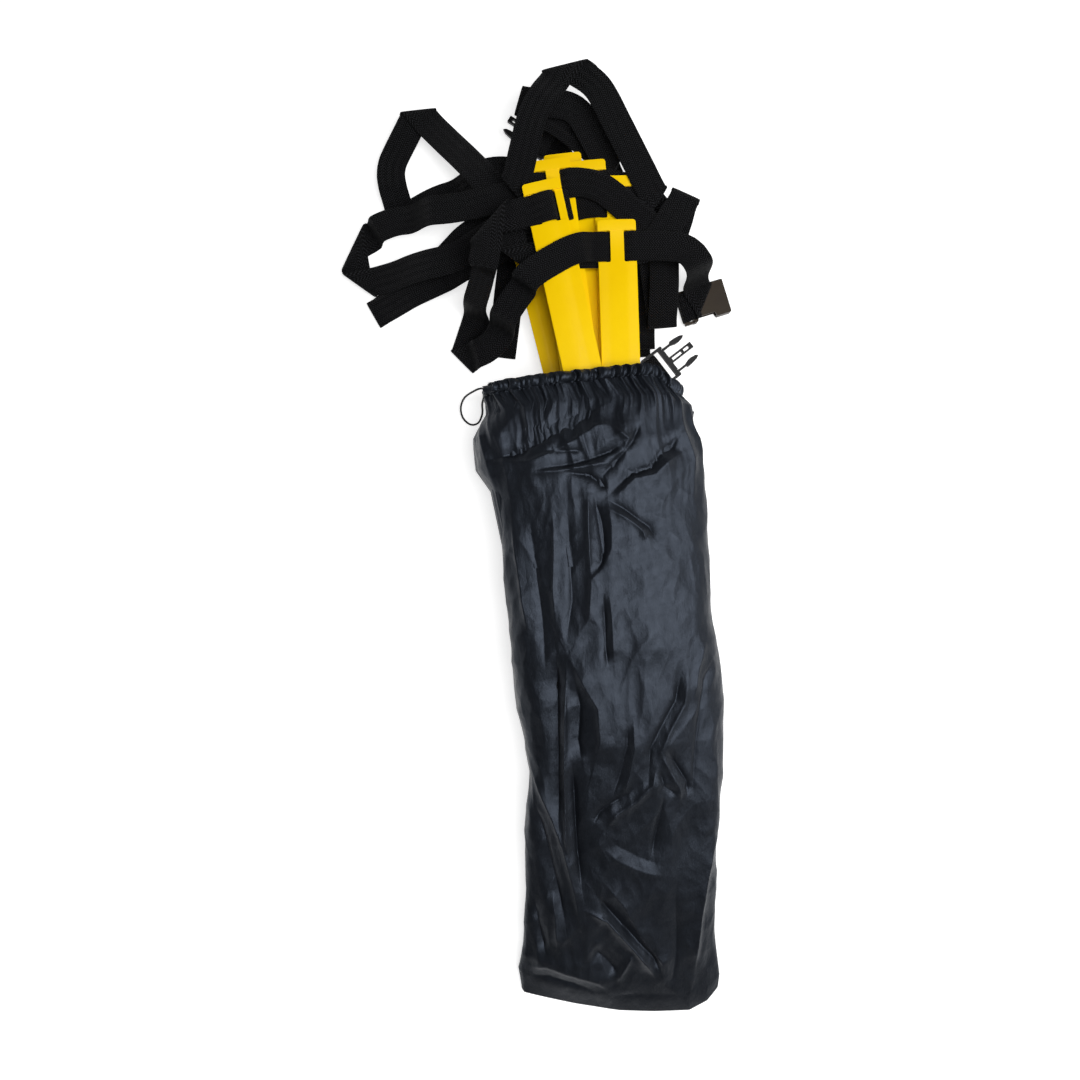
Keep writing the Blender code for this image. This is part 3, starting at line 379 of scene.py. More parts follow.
def add_window(ribbon, lay, at_foot, way_sign, face):
    """The strap through one rung: over a strip, down a slot, under the neck and up again."""
    high = level(lay.layer)
    low = lay.bottom + FIT - LAYER_GAP / 2 + WEB_THICK / 2
    way = lay.out * way_sign
    profile = (
        (-SIDE_EDGE, high),
        (-STRIP_EDGE, high),
        (-NECK_EDGE, low),
        (NECK_EDGE, low),
        (STRIP_EDGE, high),
        (SIDE_EDGE, high),
    )
    add_profile(ribbon, lay.window(at_foot), way, across_line(way, face), profile)


def window_end(lay, at_foot, side, height=None):
    place = lay.window(at_foot) + lay.out * (side * SIDE_EDGE)
    place.z = level(lay.layer) if height is None else height
    return place


def hairpin_height(lay):
    """The height of a strap that lies doubled under the rung's outer strip."""
    return lay.bottom - FIT - WEB_THICK / 2 - 2 * FOLD_RADIUS


def add_hairpin(ribbon, lay, face):
    """The strap through a rung that it leaves by the side it came from.

    It comes in under the rung, folds back under the far strip, rises through that
    side's slot, and goes out over the neck and the near strip.
    """
    under = hairpin_height(lay)
    way = lay.out * -lay.entry
    start = window_end(lay, False, lay.entry, under)
    turn = window_end(lay, False, -lay.entry, under)
    add_run(ribbon, start, turn, face)
    last = add_fold(ribbon, RoutePoint(turn, OVER), way, -way, face)
    slot = NECK_WIDTH / 2 + SLOT_WIDTH / 2
    over_neck = lay.bottom + RUNG_THICK - NECK_TOP_INSET + FIT + WEB_THICK / 2
    profile = (
        (slot + WEB_THICK / 2, last.z),
        (slot - WEB_THICK / 2, over_neck),
        (-NECK_EDGE, over_neck),
        (-STRIP_EDGE, level(lay.layer)),
        (-SIDE_EDGE, level(lay.layer)),
    )
    add_profile(ribbon, lay.window(False), way, across_line(-way, -face), profile)
    return -face


def foot_side(number):
    """The side by which the foot strap leaves a rung: it changes sides at every rung."""
    return LEFT if number % 2 == 0 else RIGHT


def beside(lay, across, layers):
    """The place beside a rung's foot window, straight out of it, at a height in layers."""
    window = lay.window(True)
    place = window + lay.out * ((across - window.x) / lay.out.x)
    place.z = level(layers)
    return place


def foot_loop(lays, number):
    """Inside the bag a loop turns down beside the rungs, doubles back and returns."""
    lay = lays[number]
    following = lays[number + 1]
    across = FOOT_RIGHT if foot_side(number) == RIGHT else FOOT_LEFT
    rising = OVER if following.layer > lay.layer else UNDER
    fold_layers = 2 * FOLD_RADIUS / LAYER_PITCH
    down = lay.layer - fold_layers
    back = following.layer - fold_layers
    settled = level(FOOT_SETTLE_SHARE * lay.layer)
    return (
        RoutePoint(beside(lay, across, lay.layer), UNDER),
        RoutePoint(Vector((across, FOOT_SHOULDER, level(down)))),
        RoutePoint(Vector((across, FOOT_TURN, settled)), rising),
        RoutePoint(Vector((across, FOOT_SHOULDER, level(back)))),
        RoutePoint(beside(following, across, back), OVER),
    )


def add_bar_loop(ribbon, start, points, bar, face):
    """The sewn end of a strap: round the buckle's bar and back along itself."""
    place = grid_place(*bar)
    back = place - flat(place - points[-1].place) * FLAP_LENGTH
    back.z = place.z + 2 * BAR_RADIUS
    add_route(ribbon, start, (*points, RoutePoint(place, OVER, 0.0, BAR_RADIUS)), back, face)


def add_first_tail(ribbon, start, points, bar):
    """A tail is drawn from the rung outwards, so the strap's first one is turned round."""
    tail = Ribbon()
    add_bar_loop(tail, start, sketch(points), bar, -1)
    ribbon.rulings = [(middle, -line, fixed) for middle, line, fixed in reversed(tail.rulings)]


def add_wrapped_end(ribbon, start, points, face):
    """The sewn end that comes back over its buckle, goes round the bar and up again."""
    turn = math.radians(HEAD_FEMALE_TURN)
    way = Vector((math.cos(turn), math.sin(turn), 0))
    axis = Vector(HEAD_FEMALE_AXIS)
    places = [
        axis + way * (ahead * PROFILE_STEP) + Vector((0, 0, above * PROFILE_STEP))
        for ahead, above in BACK_OVER_PROFILE
    ]
    face = add_route(ribbon, start, points, places[0], face)
    for place in places[1:]:
        ribbon.add(place, across_line(-way, face), True)


def head_strap_ribbon(lays):
    ribbon = Ribbon()
    start = window_end(lays[0], False, lays[0].entry)
    add_first_tail(ribbon, start, HEAD_MALE_TAIL, HEAD_MALE_BAR)
    face = 1
    for number, lay in enumerate(lays):
        if lay.entry == lay.leave:
            face = add_hairpin(ribbon, lay, face)
        else:
            add_window(ribbon, lay, False, lay.leave, face)
        start = window_end(lay, False, lay.leave)
        if number + 1 == len(lays):
            break
        following = lays[number + 1]
        hairpin = following.entry == following.leave
        height = hairpin_height(following) if hairpin else None
        end = window_end(following, False, following.entry, height)
        face = add_route(ribbon, start, sketch(HEAD_LOOPS[number]), end, face)
    add_wrapped_end(ribbon, start, sketch(HEAD_FEMALE_TAIL), face)
    return ribbon


def foot_strap_ribbon(lays):
    ribbon = Ribbon()
    start = window_end(lays[0], True, -foot_side(0))
    add_first_tail(ribbon, start, FOOT_FEMALE_TAIL, FOOT_FEMALE_BAR)
    face = 1
    for number, lay in enumerate(lays):
        side = foot_side(number)
        add_window(ribbon, lay, True, side, face)
        start = window_end(lay, True, side)
        if number + 1 < len(lays):
            end = window_end(lays[number + 1], True, side)
            face = add_route(ribbon, start, foot_loop(lays, number), end, face)
    add_bar_loop(ribbon, start, sketch(FOOT_MALE_TAIL), FOOT_MALE_BAR, face)
    return ribbon


# The photograph's eye: straight down, with its pixels a millimetre apart on the floor

EYE_HEIGHT = 0.800
EYE_X = -0.056
EYE_Y = 0.160
EYE_TURN = math.radians(3.2)
PHOTO_SIZE = 1080
PHOTO_HALF = PHOTO_SIZE / 2
PIXEL = 0.001
SENSOR = 36


def photo_place(px, py, z):
    """Where a pixel of the photograph lies at a height."""
    k = EYE_HEIGHT / (EYE_HEIGHT - z)
    a = (px - PHOTO_HALF) / k * PIXEL
    b = (PHOTO_HALF - py) / k * PIXEL
    x = EYE_X + a * math.cos(EYE_TURN) + b * math.sin(EYE_TURN)
    y = EYE_Y - a * math.sin(EYE_TURN) + b * math.cos(EYE_TURN)
    return Vector((x, y, z))


def add_object(name, data):
    obj = bpy.data.objects.new(name, data)
    bpy.context.scene.collection.objects.link(obj)
    return obj


def add_mesh(name, shape):
    mesh = bpy.data.meshes.new(name)
    shape.to_mesh(mesh)
    shape.free()
    return add_object(name, mesh)


def round_edges(obj, width, segments, degrees):
    bevel = obj.modifiers.new("edges", "BEVEL")
    bevel.width = width
    bevel.segments = segments
    bevel.limit_method = "ANGLE"
    bevel.angle_limit = math.radians(degrees)


def paint(obj, material):
    obj.data.materials.clear()
    obj.data.materials.append(material)


def make_camera():
    data = bpy.data.cameras.new("eye")
    data.sensor_width = SENSOR
    data.lens = SENSOR * EYE_HEIGHT / (PHOTO_SIZE * PIXEL)
    camera = add_object("eye", data)
    camera.location = (EYE_X, EYE_Y, EYE_HEIGHT)
    camera.rotation_euler = (0, 0, -EYE_TURN)
    bpy.context.scene.camera = camera


# Materials


def set_inputs(node, values):
    for key, value in values.items():
        node.inputs[key].default_value = value


class Nodes:
    """Short names for the nodes that a material or the world is made of."""

    def __init__(self, owner):
        owner.use_nodes = True
        self.owner = owner
        self.tree = owner.node_tree
        self.shader = self.tree.nodes.get("Principled BSDF")

    def add(self, kind, **settings):
        node = self.tree.nodes.new(kind)
        for key, value in settings.items():
            setattr(node, key, value)
        return node

    def link(self, source, target):
        self.tree.links.new(source, target)

    def feed(self, socket, source):
        self.link(source, self.shader.inputs[socket])

    def math(self, operation, *values):
        node = self.add("ShaderNodeMath", operation=operation)
        for socket, value in zip(node.inputs, values):
            if isinstance(value, (int, float)):
                socket.default_value = value
            else:
                self.link(value, socket)
        return node.outputs[0]

    def wave(self, value, rate):
        return self.math("SINE", self.math("MULTIPLY", value, rate))

    def coordinates(self):
        return self.add("ShaderNodeTexCoord").outputs["Object"]

    def weave(self):
        """The cloth's run and width, in the unit of its weave."""
        split = self.add("ShaderNodeSeparateXYZ")
        self.link(self.add("ShaderNodeUVMap", uv_map="weave").outputs[0], split.inputs[0])
        return split.outputs[0], split.outputs[1]

    def noise(self, vector, scale, detail=3.0, roughness=0.5):
        node = self.add("ShaderNodeTexNoise")
        set_inputs(node, {"Scale": scale, "Detail": detail, "Roughness": roughness})
        self.link(vector, node.inputs["Vector"])
        return node.outputs["Fac"]

    def ramp(self, factor, *stops):
        node = self.add("ShaderNodeValToRGB")
        elements = node.color_ramp.elements
        while len(elements) < len(stops):
            elements.new(0.5)
        for element, (place, *colour) in zip(elements, stops):
            element.position = place
            element.color = (*colour, 1.0)
        self.link(factor, node.inputs["Fac"])
        return node.outputs["Color"]

    def bump(self, height, strength, distance, normal=None):
        node = self.add("ShaderNodeBump")
        set_inputs(node, {"Strength": strength, "Distance": distance})
        self.link(height, node.inputs["Height"])
        if normal is not None:
            self.link(normal, node.inputs["Normal"])
        return node.outputs["Normal"]

    def map_range(self, value, low, high, to_low, to_high):
        node = self.add("ShaderNodeMapRange")
        ends = {"From Min": low, "From Max": high, "To Min": to_low, "To Max": to_high}
        set_inputs(node, ends)
        self.link(value, node.inputs["Value"])
        return node.outputs["Result"]


def new_look(name, specular, sheen=0.0, sheen_roughness=0.5, coat=0.0, roughness=0.5):
    """A material's nodes, with what is the same all over it set on the shader itself."""
    nodes = Nodes(bpy.data.materials.new(name))
    values = {
        "Roughness": roughness,
        "Specular IOR Level": specular,
        "Sheen Weight": sheen,
        "Sheen Roughness": sheen_roughness,
        "Coat Weight": coat,
    }
    set_inputs(nodes.shader, values)
    return nodes


def yellow_plastic():
    """Moulded yellow plastic: faint flow marks, fine scuffs and a soft gloss."""
    nodes = new_look("yellow_plastic_look", 0.12, coat=0.02)
    place = nodes.coordinates()
    flow = nodes.noise(place, 14.0, 4.0)
    nodes.feed("Base Color", nodes.ramp(flow, (0.3, 0.92, 0.575, 0.0), (0.7, 0.98, 0.645, 0.0)))
    scuffs = nodes.noise(place, 420.0, 6.0, 0.7)
    nodes.feed("Roughness", nodes.map_range(scuffs, 0.3, 0.75, 0.28, 0.48))
    skin = nodes.bump(nodes.noise(place, 60.0, 3.0), 0.12, 0.002)
    nodes.feed("Normal", nodes.bump(scuffs, 0.05, 0.0006, skin))
    return nodes.owner


def black_plastic(name, dark, light):
    """Moulded black plastic with a fine spark-eroded grain."""
    nodes = new_look(name, 0.24)
    place = nodes.coordinates()
    cloud = nodes.noise(place, 35.0, 3.0)
    nodes.feed("Base Color", nodes.ramp(cloud, (0.3, *dark), (0.7, *light)))
    nodes.feed("Roughness", nodes.map_range(cloud, 0.3, 0.7, 0.36, 0.5))
    nodes.feed("Normal", nodes.bump(nodes.noise(place, 1800.0, 2.0), 0.25, 0.0003))
    return nodes.owner


def webbing():
    """Woven polypropylene: fine chevron ribs across the strap and a plain selvedge, with painted
    shade in the weave's hollows and painted highlights on its ribs.
    """
    nodes = new_look("black_webbing_look", 0.10, 0.01, 0.4, roughness=0.6)
    along, across = nodes.weave()
    ribs = nodes.wave(nodes.math("ADD", along, nodes.math("PINGPONG", across, 3.5)), 2.6)
    height = nodes.math("MULTIPLY", ribs, 0.6)
    for source, weight in (
        (nodes.wave(across, 3.6), 0.25),
        (nodes.wave(along, 5.2), 0.15),
        (nodes.noise(nodes.coordinates(), 2600.0, 2.0), 0.5),
    ):
        height = nodes.math("ADD", height, nodes.math("MULTIPLY", source, weight))
    # The weave's height also sets its colour: painted shade in the hollows, the threads' own
    # black between, and a painted highlight on the ribs and the fine specks.
    rib_light_share = nodes.map_range(height, -0.8, 1.2, 0.0, 1.0)
    painted_hollow_shade = (0.35, 0.0003, 0.0003, 0.0003)
    thread = (0.6, 0.0016, 0.0016, 0.0019)
    painted_rib_highlight = (0.9, 0.022, 0.023, 0.026)
    nodes.feed("Base Color", nodes.ramp(rib_light_share, painted_hollow_shade, thread, painted_rib_highlight))
    nodes.feed("Normal", nodes.bump(height, 1.0, 0.0006))
    return nodes.owner


def nylon():
    """Thin coated nylon: crumpled, with a soft sheen and a hair-fine weave."""
    nodes = new_look("black_nylon_look", 0.38, 0.02, 0.35)
    set_inputs(nodes.shader, {"Specular Tint": (0.66, 0.78, 1.0, 1.0)})
    place = nodes.coordinates()
    wide = nodes.noise(place, 9.0, 3.0)
    deep = (0.3, 0.0040, 0.0047, 0.0062)
    pale = (0.7, 0.0065, 0.0075, 0.0098)
    nodes.feed("Base Color", nodes.ramp(wide, deep, pale))
    drawn_out = nodes.add("ShaderNodeMapping")
    set_inputs(drawn_out, {"Scale": (1.0, 0.45, 1.0)})
    nodes.link(place, drawn_out.inputs["Vector"])
    crumple = nodes.noise(drawn_out.outputs[0], 38.0, 5.0, 0.55)
    sharp = nodes.math("ABSOLUTE", nodes.math("SUBTRACT", crumple, 0.5))
    fine = nodes.noise(place, 160.0, 3.0)
    threads = [nodes.wave(way, 12.0) for way in nodes.weave()]
    nodes.feed("Roughness", nodes.map_range(fine, 0.3, 0.7, 0.38, 0.48))
    normal = nodes.bump(fine, 0.10, 0.0015, nodes.bump(sharp, 0.35, 0.006))
    cloth = nodes.math("MULTIPLY", *threads)
    nodes.feed("Normal", nodes.bump(cloth, 0.10, 0.0002, normal))
    return nodes.owner


def cord_material():
    """A braided black cord."""
    nodes = new_look("black_cord_look", 0.3, 0.3, 0.4, roughness=0.7)
    wave = nodes.add("ShaderNodeTexWave", wave_type="BANDS", bands_direction="DIAGONAL")
    set_inputs(wave, {"Scale": 420.0, "Distortion": 1.5})
    nodes.link(nodes.coordinates(), wave.inputs["Vector"])
    strands = wave.outputs["Fac"]
    colour = nodes.ramp(strands, (0.2, 0.003, 0.003, 0.003), (0.9, 0.02, 0.02, 0.022))
    nodes.feed("Base Color", colour)
    nodes.feed("Normal", nodes.bump(strands, 0.6, 0.0005))
    return nodes.owner


# Rungs

CROWN = 0.0007
CROWN_POWER = 2.5
CROWN_LINES = (-0.0165, -0.0145, -0.011, -0.006, 0.006, 0.011, 0.0145, 0.0165)
EDGE_ROUND = 0.0006
WELD = 1e-6
FLAT_DEGREES = 1
ROUND_DEGREES = 35
SHARP_DEGREES = 50


def dress_rung(number, lay, material):
    """The rung's own mesh with a face that falls away to its long edges, which are rounded."""
    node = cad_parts[f"rung_{number:02d}"]
    shape = bmesh.new()
    shape.from_mesh(node.data)
    bmesh.ops.remove_doubles(shape, verts=shape.verts, dist=WELD)
    bmesh.ops.dissolve_limit(
        shape, angle_limit=math.radians(FLAT_DEGREES), verts=shape.verts, edges=shape.edges
    )
    for across in CROWN_LINES:
        bmesh.ops.bisect_plane(
            shape,
            geom=list(shape.verts) + list(shape.edges) + list(shape.faces),
            plane_co=lay.tip + lay.out * across,
            plane_no=lay.out,
        )
    top = lay.bottom + RUNG_THICK - NECK_TOP_INSET - LAYER_GAP / 2
    for vert in shape.verts:
        share = (vert.co - lay.tip).dot(lay.out) / (RUNG_WIDTH / 2)
        if vert.co.z > top:
            vert.co.z -= CROWN * abs(share) ** CROWN_POWER
    bmesh.ops.recalc_face_normals(shape, faces=shape.faces)
    rung = add_mesh(f"rung_{number:02d}_moulding", shape)
    round_edges(rung, EDGE_ROUND, 3, ROUND_DEGREES)
    rung.data.shade_smooth()
    rung.data.set_sharp_from_angle(angle=math.radians(SHARP_DEGREES))
    paint(rung, material)
    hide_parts(node.name)
    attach(rung, "ladder")


# Webbing

WEAVE_STEP = 0.0035
SELVEDGE_THICK_SHARE = 0.55
SELVEDGE_POWER = 8
LEAST_LENGTH = 1e-6
ACROSS_SHARES = (-1.0, -0.93, -0.8, -0.4, 0.0, 0.4, 0.8, 0.93, 1.0)
WEAVE_UNIT = 0.001


def finer(rulings):
    """The strap's rulings on a smooth way, a few millimetres apart."""
    middles = [ruling[0] for ruling in rulings]
    lines = [ruling[1] for ruling in rulings]
    count = len(middles)
    lengths = [max((b - a).length, LEAST_LENGTH) for a, b in zip(middles, middles[1:])]
    slopes = []
    for i in range(count):
        if i in (0, count - 1):
            end = min(i, count - 2)
            slopes.append((middles[end + 1] - middles[end]) / lengths[end])
        else:
            before = (middles[i] - middles[i - 1]) / lengths[i - 1]
            after = (middles[i + 1] - middles[i]) / lengths[i]
            total = lengths[i - 1] + lengths[i]
            slopes.append((before * lengths[i] + after * lengths[i - 1]) / total)
    places = []
    for i in range(count - 1):
        steps = max(1, round(lengths[i] / WEAVE_STEP))
        for step in range(steps):
            t = step / steps
            h00 = 2 * t**3 - 3 * t**2 + 1
            h10 = t**3 - 2 * t**2 + t
            h01 = -2 * t**3 + 3 * t**2
            h11 = t**3 - t**2
            middle = (
                middles[i] * h00
                + slopes[i] * (h10 * lengths[i])
                + middles[i + 1] * h01
                + slopes[i + 1] * (h11 * lengths[i])
            )
            places.append((middle, lines[i].lerp(lines[i + 1], t)))
    places.append((middles[-1], lines[-1]))
    return places


def join_rings(shape, rings, weave):
    """Faces from ring to ring, whose corners carry their vertex and its place in the weave."""
    for ring, following in zip(rings, rings[1:]):
        for k in range(len(ring)):
            after = (k + 1) % len(ring)
            corners = (ring[k], ring[after], following[after], following[k])
            face = shape.faces.new([corner[0] for corner in corners])
            for loop, corner in zip(face.loops, corners):
                loop[weave].uv = corner[1:]
            face.smooth = True


def weave_strap(name, ribbon, node, material):
    places = finer(ribbon.rulings)
    last = len(places) - 1
    shape = bmesh.new()
    weave = shape.loops.layers.uv.new("weave")
    rings = []
    run = 0.0
    for i, (middle, line) in enumerate(places):
        if i:
            run += (middle - places[i - 1][0]).length
        ahead = places[min(i + 1, last)][0] - places[max(i - 1, 0)][0]
        normal = ahead.cross(line).normalized()
        ring = []
        for side in (1, -1):
            for across in ACROSS_SHARES[::side]:
                thinner = (1 - SELVEDGE_THICK_SHARE) * abs(across) ** SELVEDGE_POWER
                place = middle + line * across + normal * (WEB_THICK / 2 * (1 - thinner) * side)
                width = across * WEB_WIDTH / 2
                ring.append((shape.verts.new(place), run / WEAVE_UNIT, width / WEAVE_UNIT))
        rings.append(ring)
    join_rings(shape, rings, weave)
    for ring in (rings[0], rings[-1]):
        shape.faces.new([corner[0] for corner in ring])
    bmesh.ops.recalc_face_normals(shape, faces=shape.faces)
    strap = add_mesh(name, shape)
    paint(strap, material)
    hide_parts(node)
    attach(strap, "ladder")


# Bag. Its outline is read from the photograph: row, left edge and right edge in pixels

OUTLINE_PIXELS = (
    (398, 488, 684), (410, 490, 686), (440, 478, 694), (470, 480, 700), (500, 496, 703),
    (530, 502, 705), (560, 505, 707), (590, 508, 708), (620, 512, 711), (650, 514, 716),
    (680, 516, 719), (710, 518, 721), (740, 526, 721), (770, 530, 721), (800, 527, 717),
    (830, 524, 713), (860, 525, 715), (890, 526, 717), (920, 525, 716), (950, 523, 719),
    (980, 518, 724), (1000, 521, 722),
)
END_PIXELS = (
    (518, 986), (524, 995), (575, 1005), (620, 1012), (655, 1013), (690, 1012), (708, 1003),
    (724, 985),
)
END_REACH = 0.045
END_HEIGHT = 0.010
EDGE_HEIGHT = 0.026
OUTLINE_FADE = (0.262, 0.292)
BAG_ROWS = 480
BAG_ROUND = 400
FLOOR_DENSITY_SHARE = 0.35
DENSE_ANGLES = 1440

# Creases of the bag's upper side: how high or deep in millimetres, how wide in pixels on the
# side to the left of a way drawn down, or under a way drawn to the right, how wide on the other
# side, and the way in the photograph's pixels
FOLDS = (
    # the roll under the drawn mouth
    (-6.0, 5, 12, ((478, 463), (520, 453), (547, 436), (582, 418), (597, 409))),
    (3.5, 16, 5, ((492, 462), (530, 462), (562, 448), (596, 426), (612, 424))),
    (-3.0, 4, 4, ((543, 452), (562, 451), (584, 451))),
    (-4.5, 3, 8, ((535, 470), (570, 465), (589, 460), (610, 452), (622, 444))),
    (3.5, 5, 6, ((527, 474), (560, 471), (588, 466), (612, 462))),
    (4.0, 6, 6, ((606, 424), (628, 439), (624, 450), (612, 458))),
    # the star where the creases meet
    (-4.0, 4, 4, ((562, 472), (589, 475), (599, 482), (608, 490))),
    (-4.0, 4, 4, ((599, 480), (618, 458), (632, 441), (640, 424))),
    (-5.0, 4, 7, ((608, 496), (631, 473), (650, 468), (660, 453), (672, 447), (680, 430))),
    (4.0, 12, 4, ((612, 500), (634, 478), (654, 474), (668, 460), (684, 452))),
    (-3.5, 3, 5, ((606, 499), (624, 509), (640, 521), (649, 527), (655, 538))),
    (3.0, 5, 4, ((604, 506), (628, 519), (642, 530), (646, 542))),
    (4.0, 5, 4, ((588, 490), (588, 520), (589, 548), (591, 576))),
    (-5.0, 4, 5, ((594, 494), (599, 520), (603, 545), (602, 562), (594, 576))),
    # the crest that parts the dark side from the lit one
    (5.0, 7, 30, ((607, 496), (611, 525), (611, 548), (602, 567), (591, 580), (589, 618),
                  (576, 642))),
    (-4.0, 4, 4, ((603, 596), (605, 620), (606, 648), (608, 668))),
    (3.0, 5, 9, ((609, 590), (612, 630), (614, 664))),
    (4.5, 5, 26, ((566, 652), (586, 690), (597, 708), (600, 740), (594, 764))),
    (-6.0, 12, 8, ((574, 676), (580, 706), (578, 740), (582, 762))),
    # the long folds of the dark side
    (3.0, 4, 7, ((513, 516), (518, 560), (525, 608), (530, 640))),
    (-4.0, 8, 10, ((530, 520), (536, 570), (542, 620), (546, 680))),
    (3.0, 4, 5, ((553, 512), (554, 550), (553, 590), (556, 630))),
    (-3.0, 4, 8, ((567, 510), (570, 560), (572, 600), (566, 640))),
    (5.0, 3, 3, ((566, 670), (565, 720), (565, 780), (566, 835), (568, 858))),
    (-7.0, 14, 4, ((556, 650), (557, 700), (558, 760), (559, 830))),
    (-6.0, 3, 7, ((572, 762), (574, 800), (577, 850), (582, 890))),
    (5.0, 4, 12, ((528, 752), (540, 790), (553, 821), (563, 848), (574, 890), (581, 928))),
    (-5.0, 16, 4, ((534, 800), (546, 840), (556, 880), (566, 925))),
    # the small folds of the lit side
    (-3.2, 4, 5, ((628, 722), (627, 746), (621, 772), (612, 798))),
    (3.0, 4, 7, ((633, 716), (634, 748), (629, 776), (622, 796))),
    (-4.0, 4, 7, ((681, 668), (676, 700), (660, 729), (650, 749), (648, 782))),
    (3.0, 4, 8, ((688, 670), (684, 704), (668, 734), (657, 760))),
    (-4.0, 3, 4, ((667, 750), (679, 769), (687, 782), (687, 796))),
    (3.0, 4, 4, ((660, 752), (670, 772), (679, 788), (680, 800))),
    (-3.0, 3, 4, ((659, 769), (664, 786), (677, 795))),
    (3.4, 4, 8, ((657, 766), (652, 784), (636, 801), (616, 814), (604, 830))),
    (-3.8, 5, 5, ((632, 791), (612, 803), (600, 812), (593, 824))),
    (-3.5, 4, 6, ((664, 796), (659, 820), (651, 860))),
    (-2.5, 3, 5, ((712, 662), (704, 680), (699, 713), (694, 766), (692, 800))),
    (2.5, 5, 5, ((706, 640), (698, 668), (693, 700))),
    (-1.5, 8, 12, ((604, 832), (618, 846), (640, 858), (664, 866))),
    (2.2, 10, 10, ((603, 848), (620, 862), (644, 872), (666, 876))),
    (6.0, 14, 5, ((716, 742), (714, 820), (709, 850), (700, 912), (696, 950), (692, 990))),
    # the end
    (5.0, 4, 4, ((586, 910), (607, 920), (635, 950), (647, 964), (657, 979))),
    (-6.0, 4, 7, ((595, 893), (608, 910), (632, 936), (653, 957), (662, 972))),
    (-6.0, 12, 12, ((592, 948), (606, 960), (620, 976))),
    (3.0, 3, 4, ((634, 952), (624, 968), (616, 982))),
    (4.0, 6, 12, ((602, 880), (624, 906), (645, 944), (662, 962), (664, 994))),
    (-3.5, 9, 5, ((675, 888), (677, 930), (676, 958), (670, 992))),
    (4.0, 8, 8, ((552, 890), (556, 920), (558, 950))),
    (-4.0, 5, 5, ((534, 900), (540, 930), (546, 952))),
    (4.0, 4, 10, ((520, 966), (547, 966), (569, 973), (598, 982), (610, 990))),
    (-5.0, 5, 3, ((524, 974), (548, 976), (572, 982), (600, 992))),
    (-3.5, 8, 3, ((612, 996), (640, 994), (668, 994), (690, 996))),
    (2.5, 3, 3, ((568, 982), (564, 992), (558, 1000))),
    (3.0, 3, 3, ((598, 990), (598, 1004))),
    (3.0, 3, 3, ((608, 994), (612, 1006))),
    (-4.0, 3, 3, ((694, 998), (692, 1010))),
    (3.5, 4, 4, ((686, 1000), (688, 1010))),
)
FOLD_UNIT = 0.001
FOLD_WIDTH_SCALE = 0.85
FOLD_TAPER = 0.25
FOLD_END_SHARE = 0.15
DEEPEST_FOLD = 0.0075

# Ridges of the cloth: height, how closely they lie each way, seed and, if it differs, steepness
TIGHT_PLEATS = (0.0018, (210, 18, 1), 1.1)
MIDDLE_PLEATS = (0.0034, (105, 10, 1), 6.3, 2.6)
WIDE_PLEATS = (0.0042, (48, 7, 1), 2.9)
HEM_RUFFLE = (0.0015, (150, 45, 1), 8.8)
LONG_CRUMPLES = (0.0013, (26, 11, 22), 1.7)
SLANTED_CRUMPLES = (0.0011, (34, 15, 30), 7.7)
FINE_CRUMPLES = (0.0005, (75, 40, 75), 4.2)
RIDGE_STEEPNESS = 2.4
TIGHT_REACH = 0.018
MIDDLE_REACH = 0.036
WIDE_REACH = 0.085
WIDE_START = (-0.01, 0.03)
CRUMPLE_START = (0.0, 0.05)
SLANT = ((0.8, 0.6, 0.0), (-0.6, 0.8, 0.0), (0.0, 0.0, 1.0))
UPPER_SIDE = (0.004, 0.022)
CREASED_SIDE = (0.008, 0.024)

# Smooth noise under the ridges: how closely its waves lie each way and its seed, then how far
# it moves or lifts them
PLEAT_WAVES = ((25, 30, 1), 3.1)
PLEAT_SWAY = 0.006
CRUMPLE_WAVES = ((9, 6, 9), 5.0)
CRUMPLE_SWAY = (0.020, 0.012, 0.0)
SWELL_WAVES = ((24, 7, 20), 0.3)
SWELL = 0.0020

# The hem outside to inside: how far past the rim and how far in from the skin
HEM_PROFILE = (
    (0.0, 1.6), (0.6, 1.3), (1.8, 0.2), (3.6, -0.5), (5.6, -0.8), (7.6, -0.6), (9.4, 0.1),
    (10.6, 1.2), (11.1, 2.4), (10.8, 3.6), (9.6, 4.6), (6.0, 5.2), (2.0, 5.0), (-4.0, 3.6),
    (-14.0, 2.4), (-40.0, 2.0), (-90.0, 2.0), (-170.0, 2.0),
)
HEM_UNIT = 0.001


def smooth_share(values, low, high):
    return ease(np.clip((values - low) / (high - low), 0.0, 1.0))


def edge_line(column):
    """A long side of the outline: the places along the bag, rising, and those across it."""
    places = [photo_place(row[column], row[0], EDGE_HEIGHT) for row in OUTLINE_PIXELS]
    places.sort(key=lambda place: place.y)
    return [place.y for place in places], [place.x for place in places]


def end_line():
    places = [photo_place(px, py, END_HEIGHT) for px, py in END_PIXELS]
    return [place.x for place in places], [place.y for place in places]


LEFT_EDGE = edge_line(1)
RIGHT_EDGE = edge_line(2)
END_LINE = end_line()
BAG_TABLE = np.array(sorted(BAG_SECTIONS)).T


def row_values(along):
    """Left edge, right edge, height, lean, bow and set-back of the bag at a place along it."""
    row = [np.interp(along, BAG_TABLE[0] * GRID, column) for column in BAG_TABLE[1:]]
    left, right, height, lean, bow, set_back = row
    left *= GRID
    right *= GRID
    blend = smooth_share(along, *OUTLINE_FADE)
    left = np.interp(along + lean * left, *LEFT_EDGE) * (1 - blend) + left * blend
    right = np.interp(along + lean * right, *RIGHT_EDGE) * (1 - blend) + right * blend
    return left, right, height * GRID, lean, bow * GRID, set_back * GRID


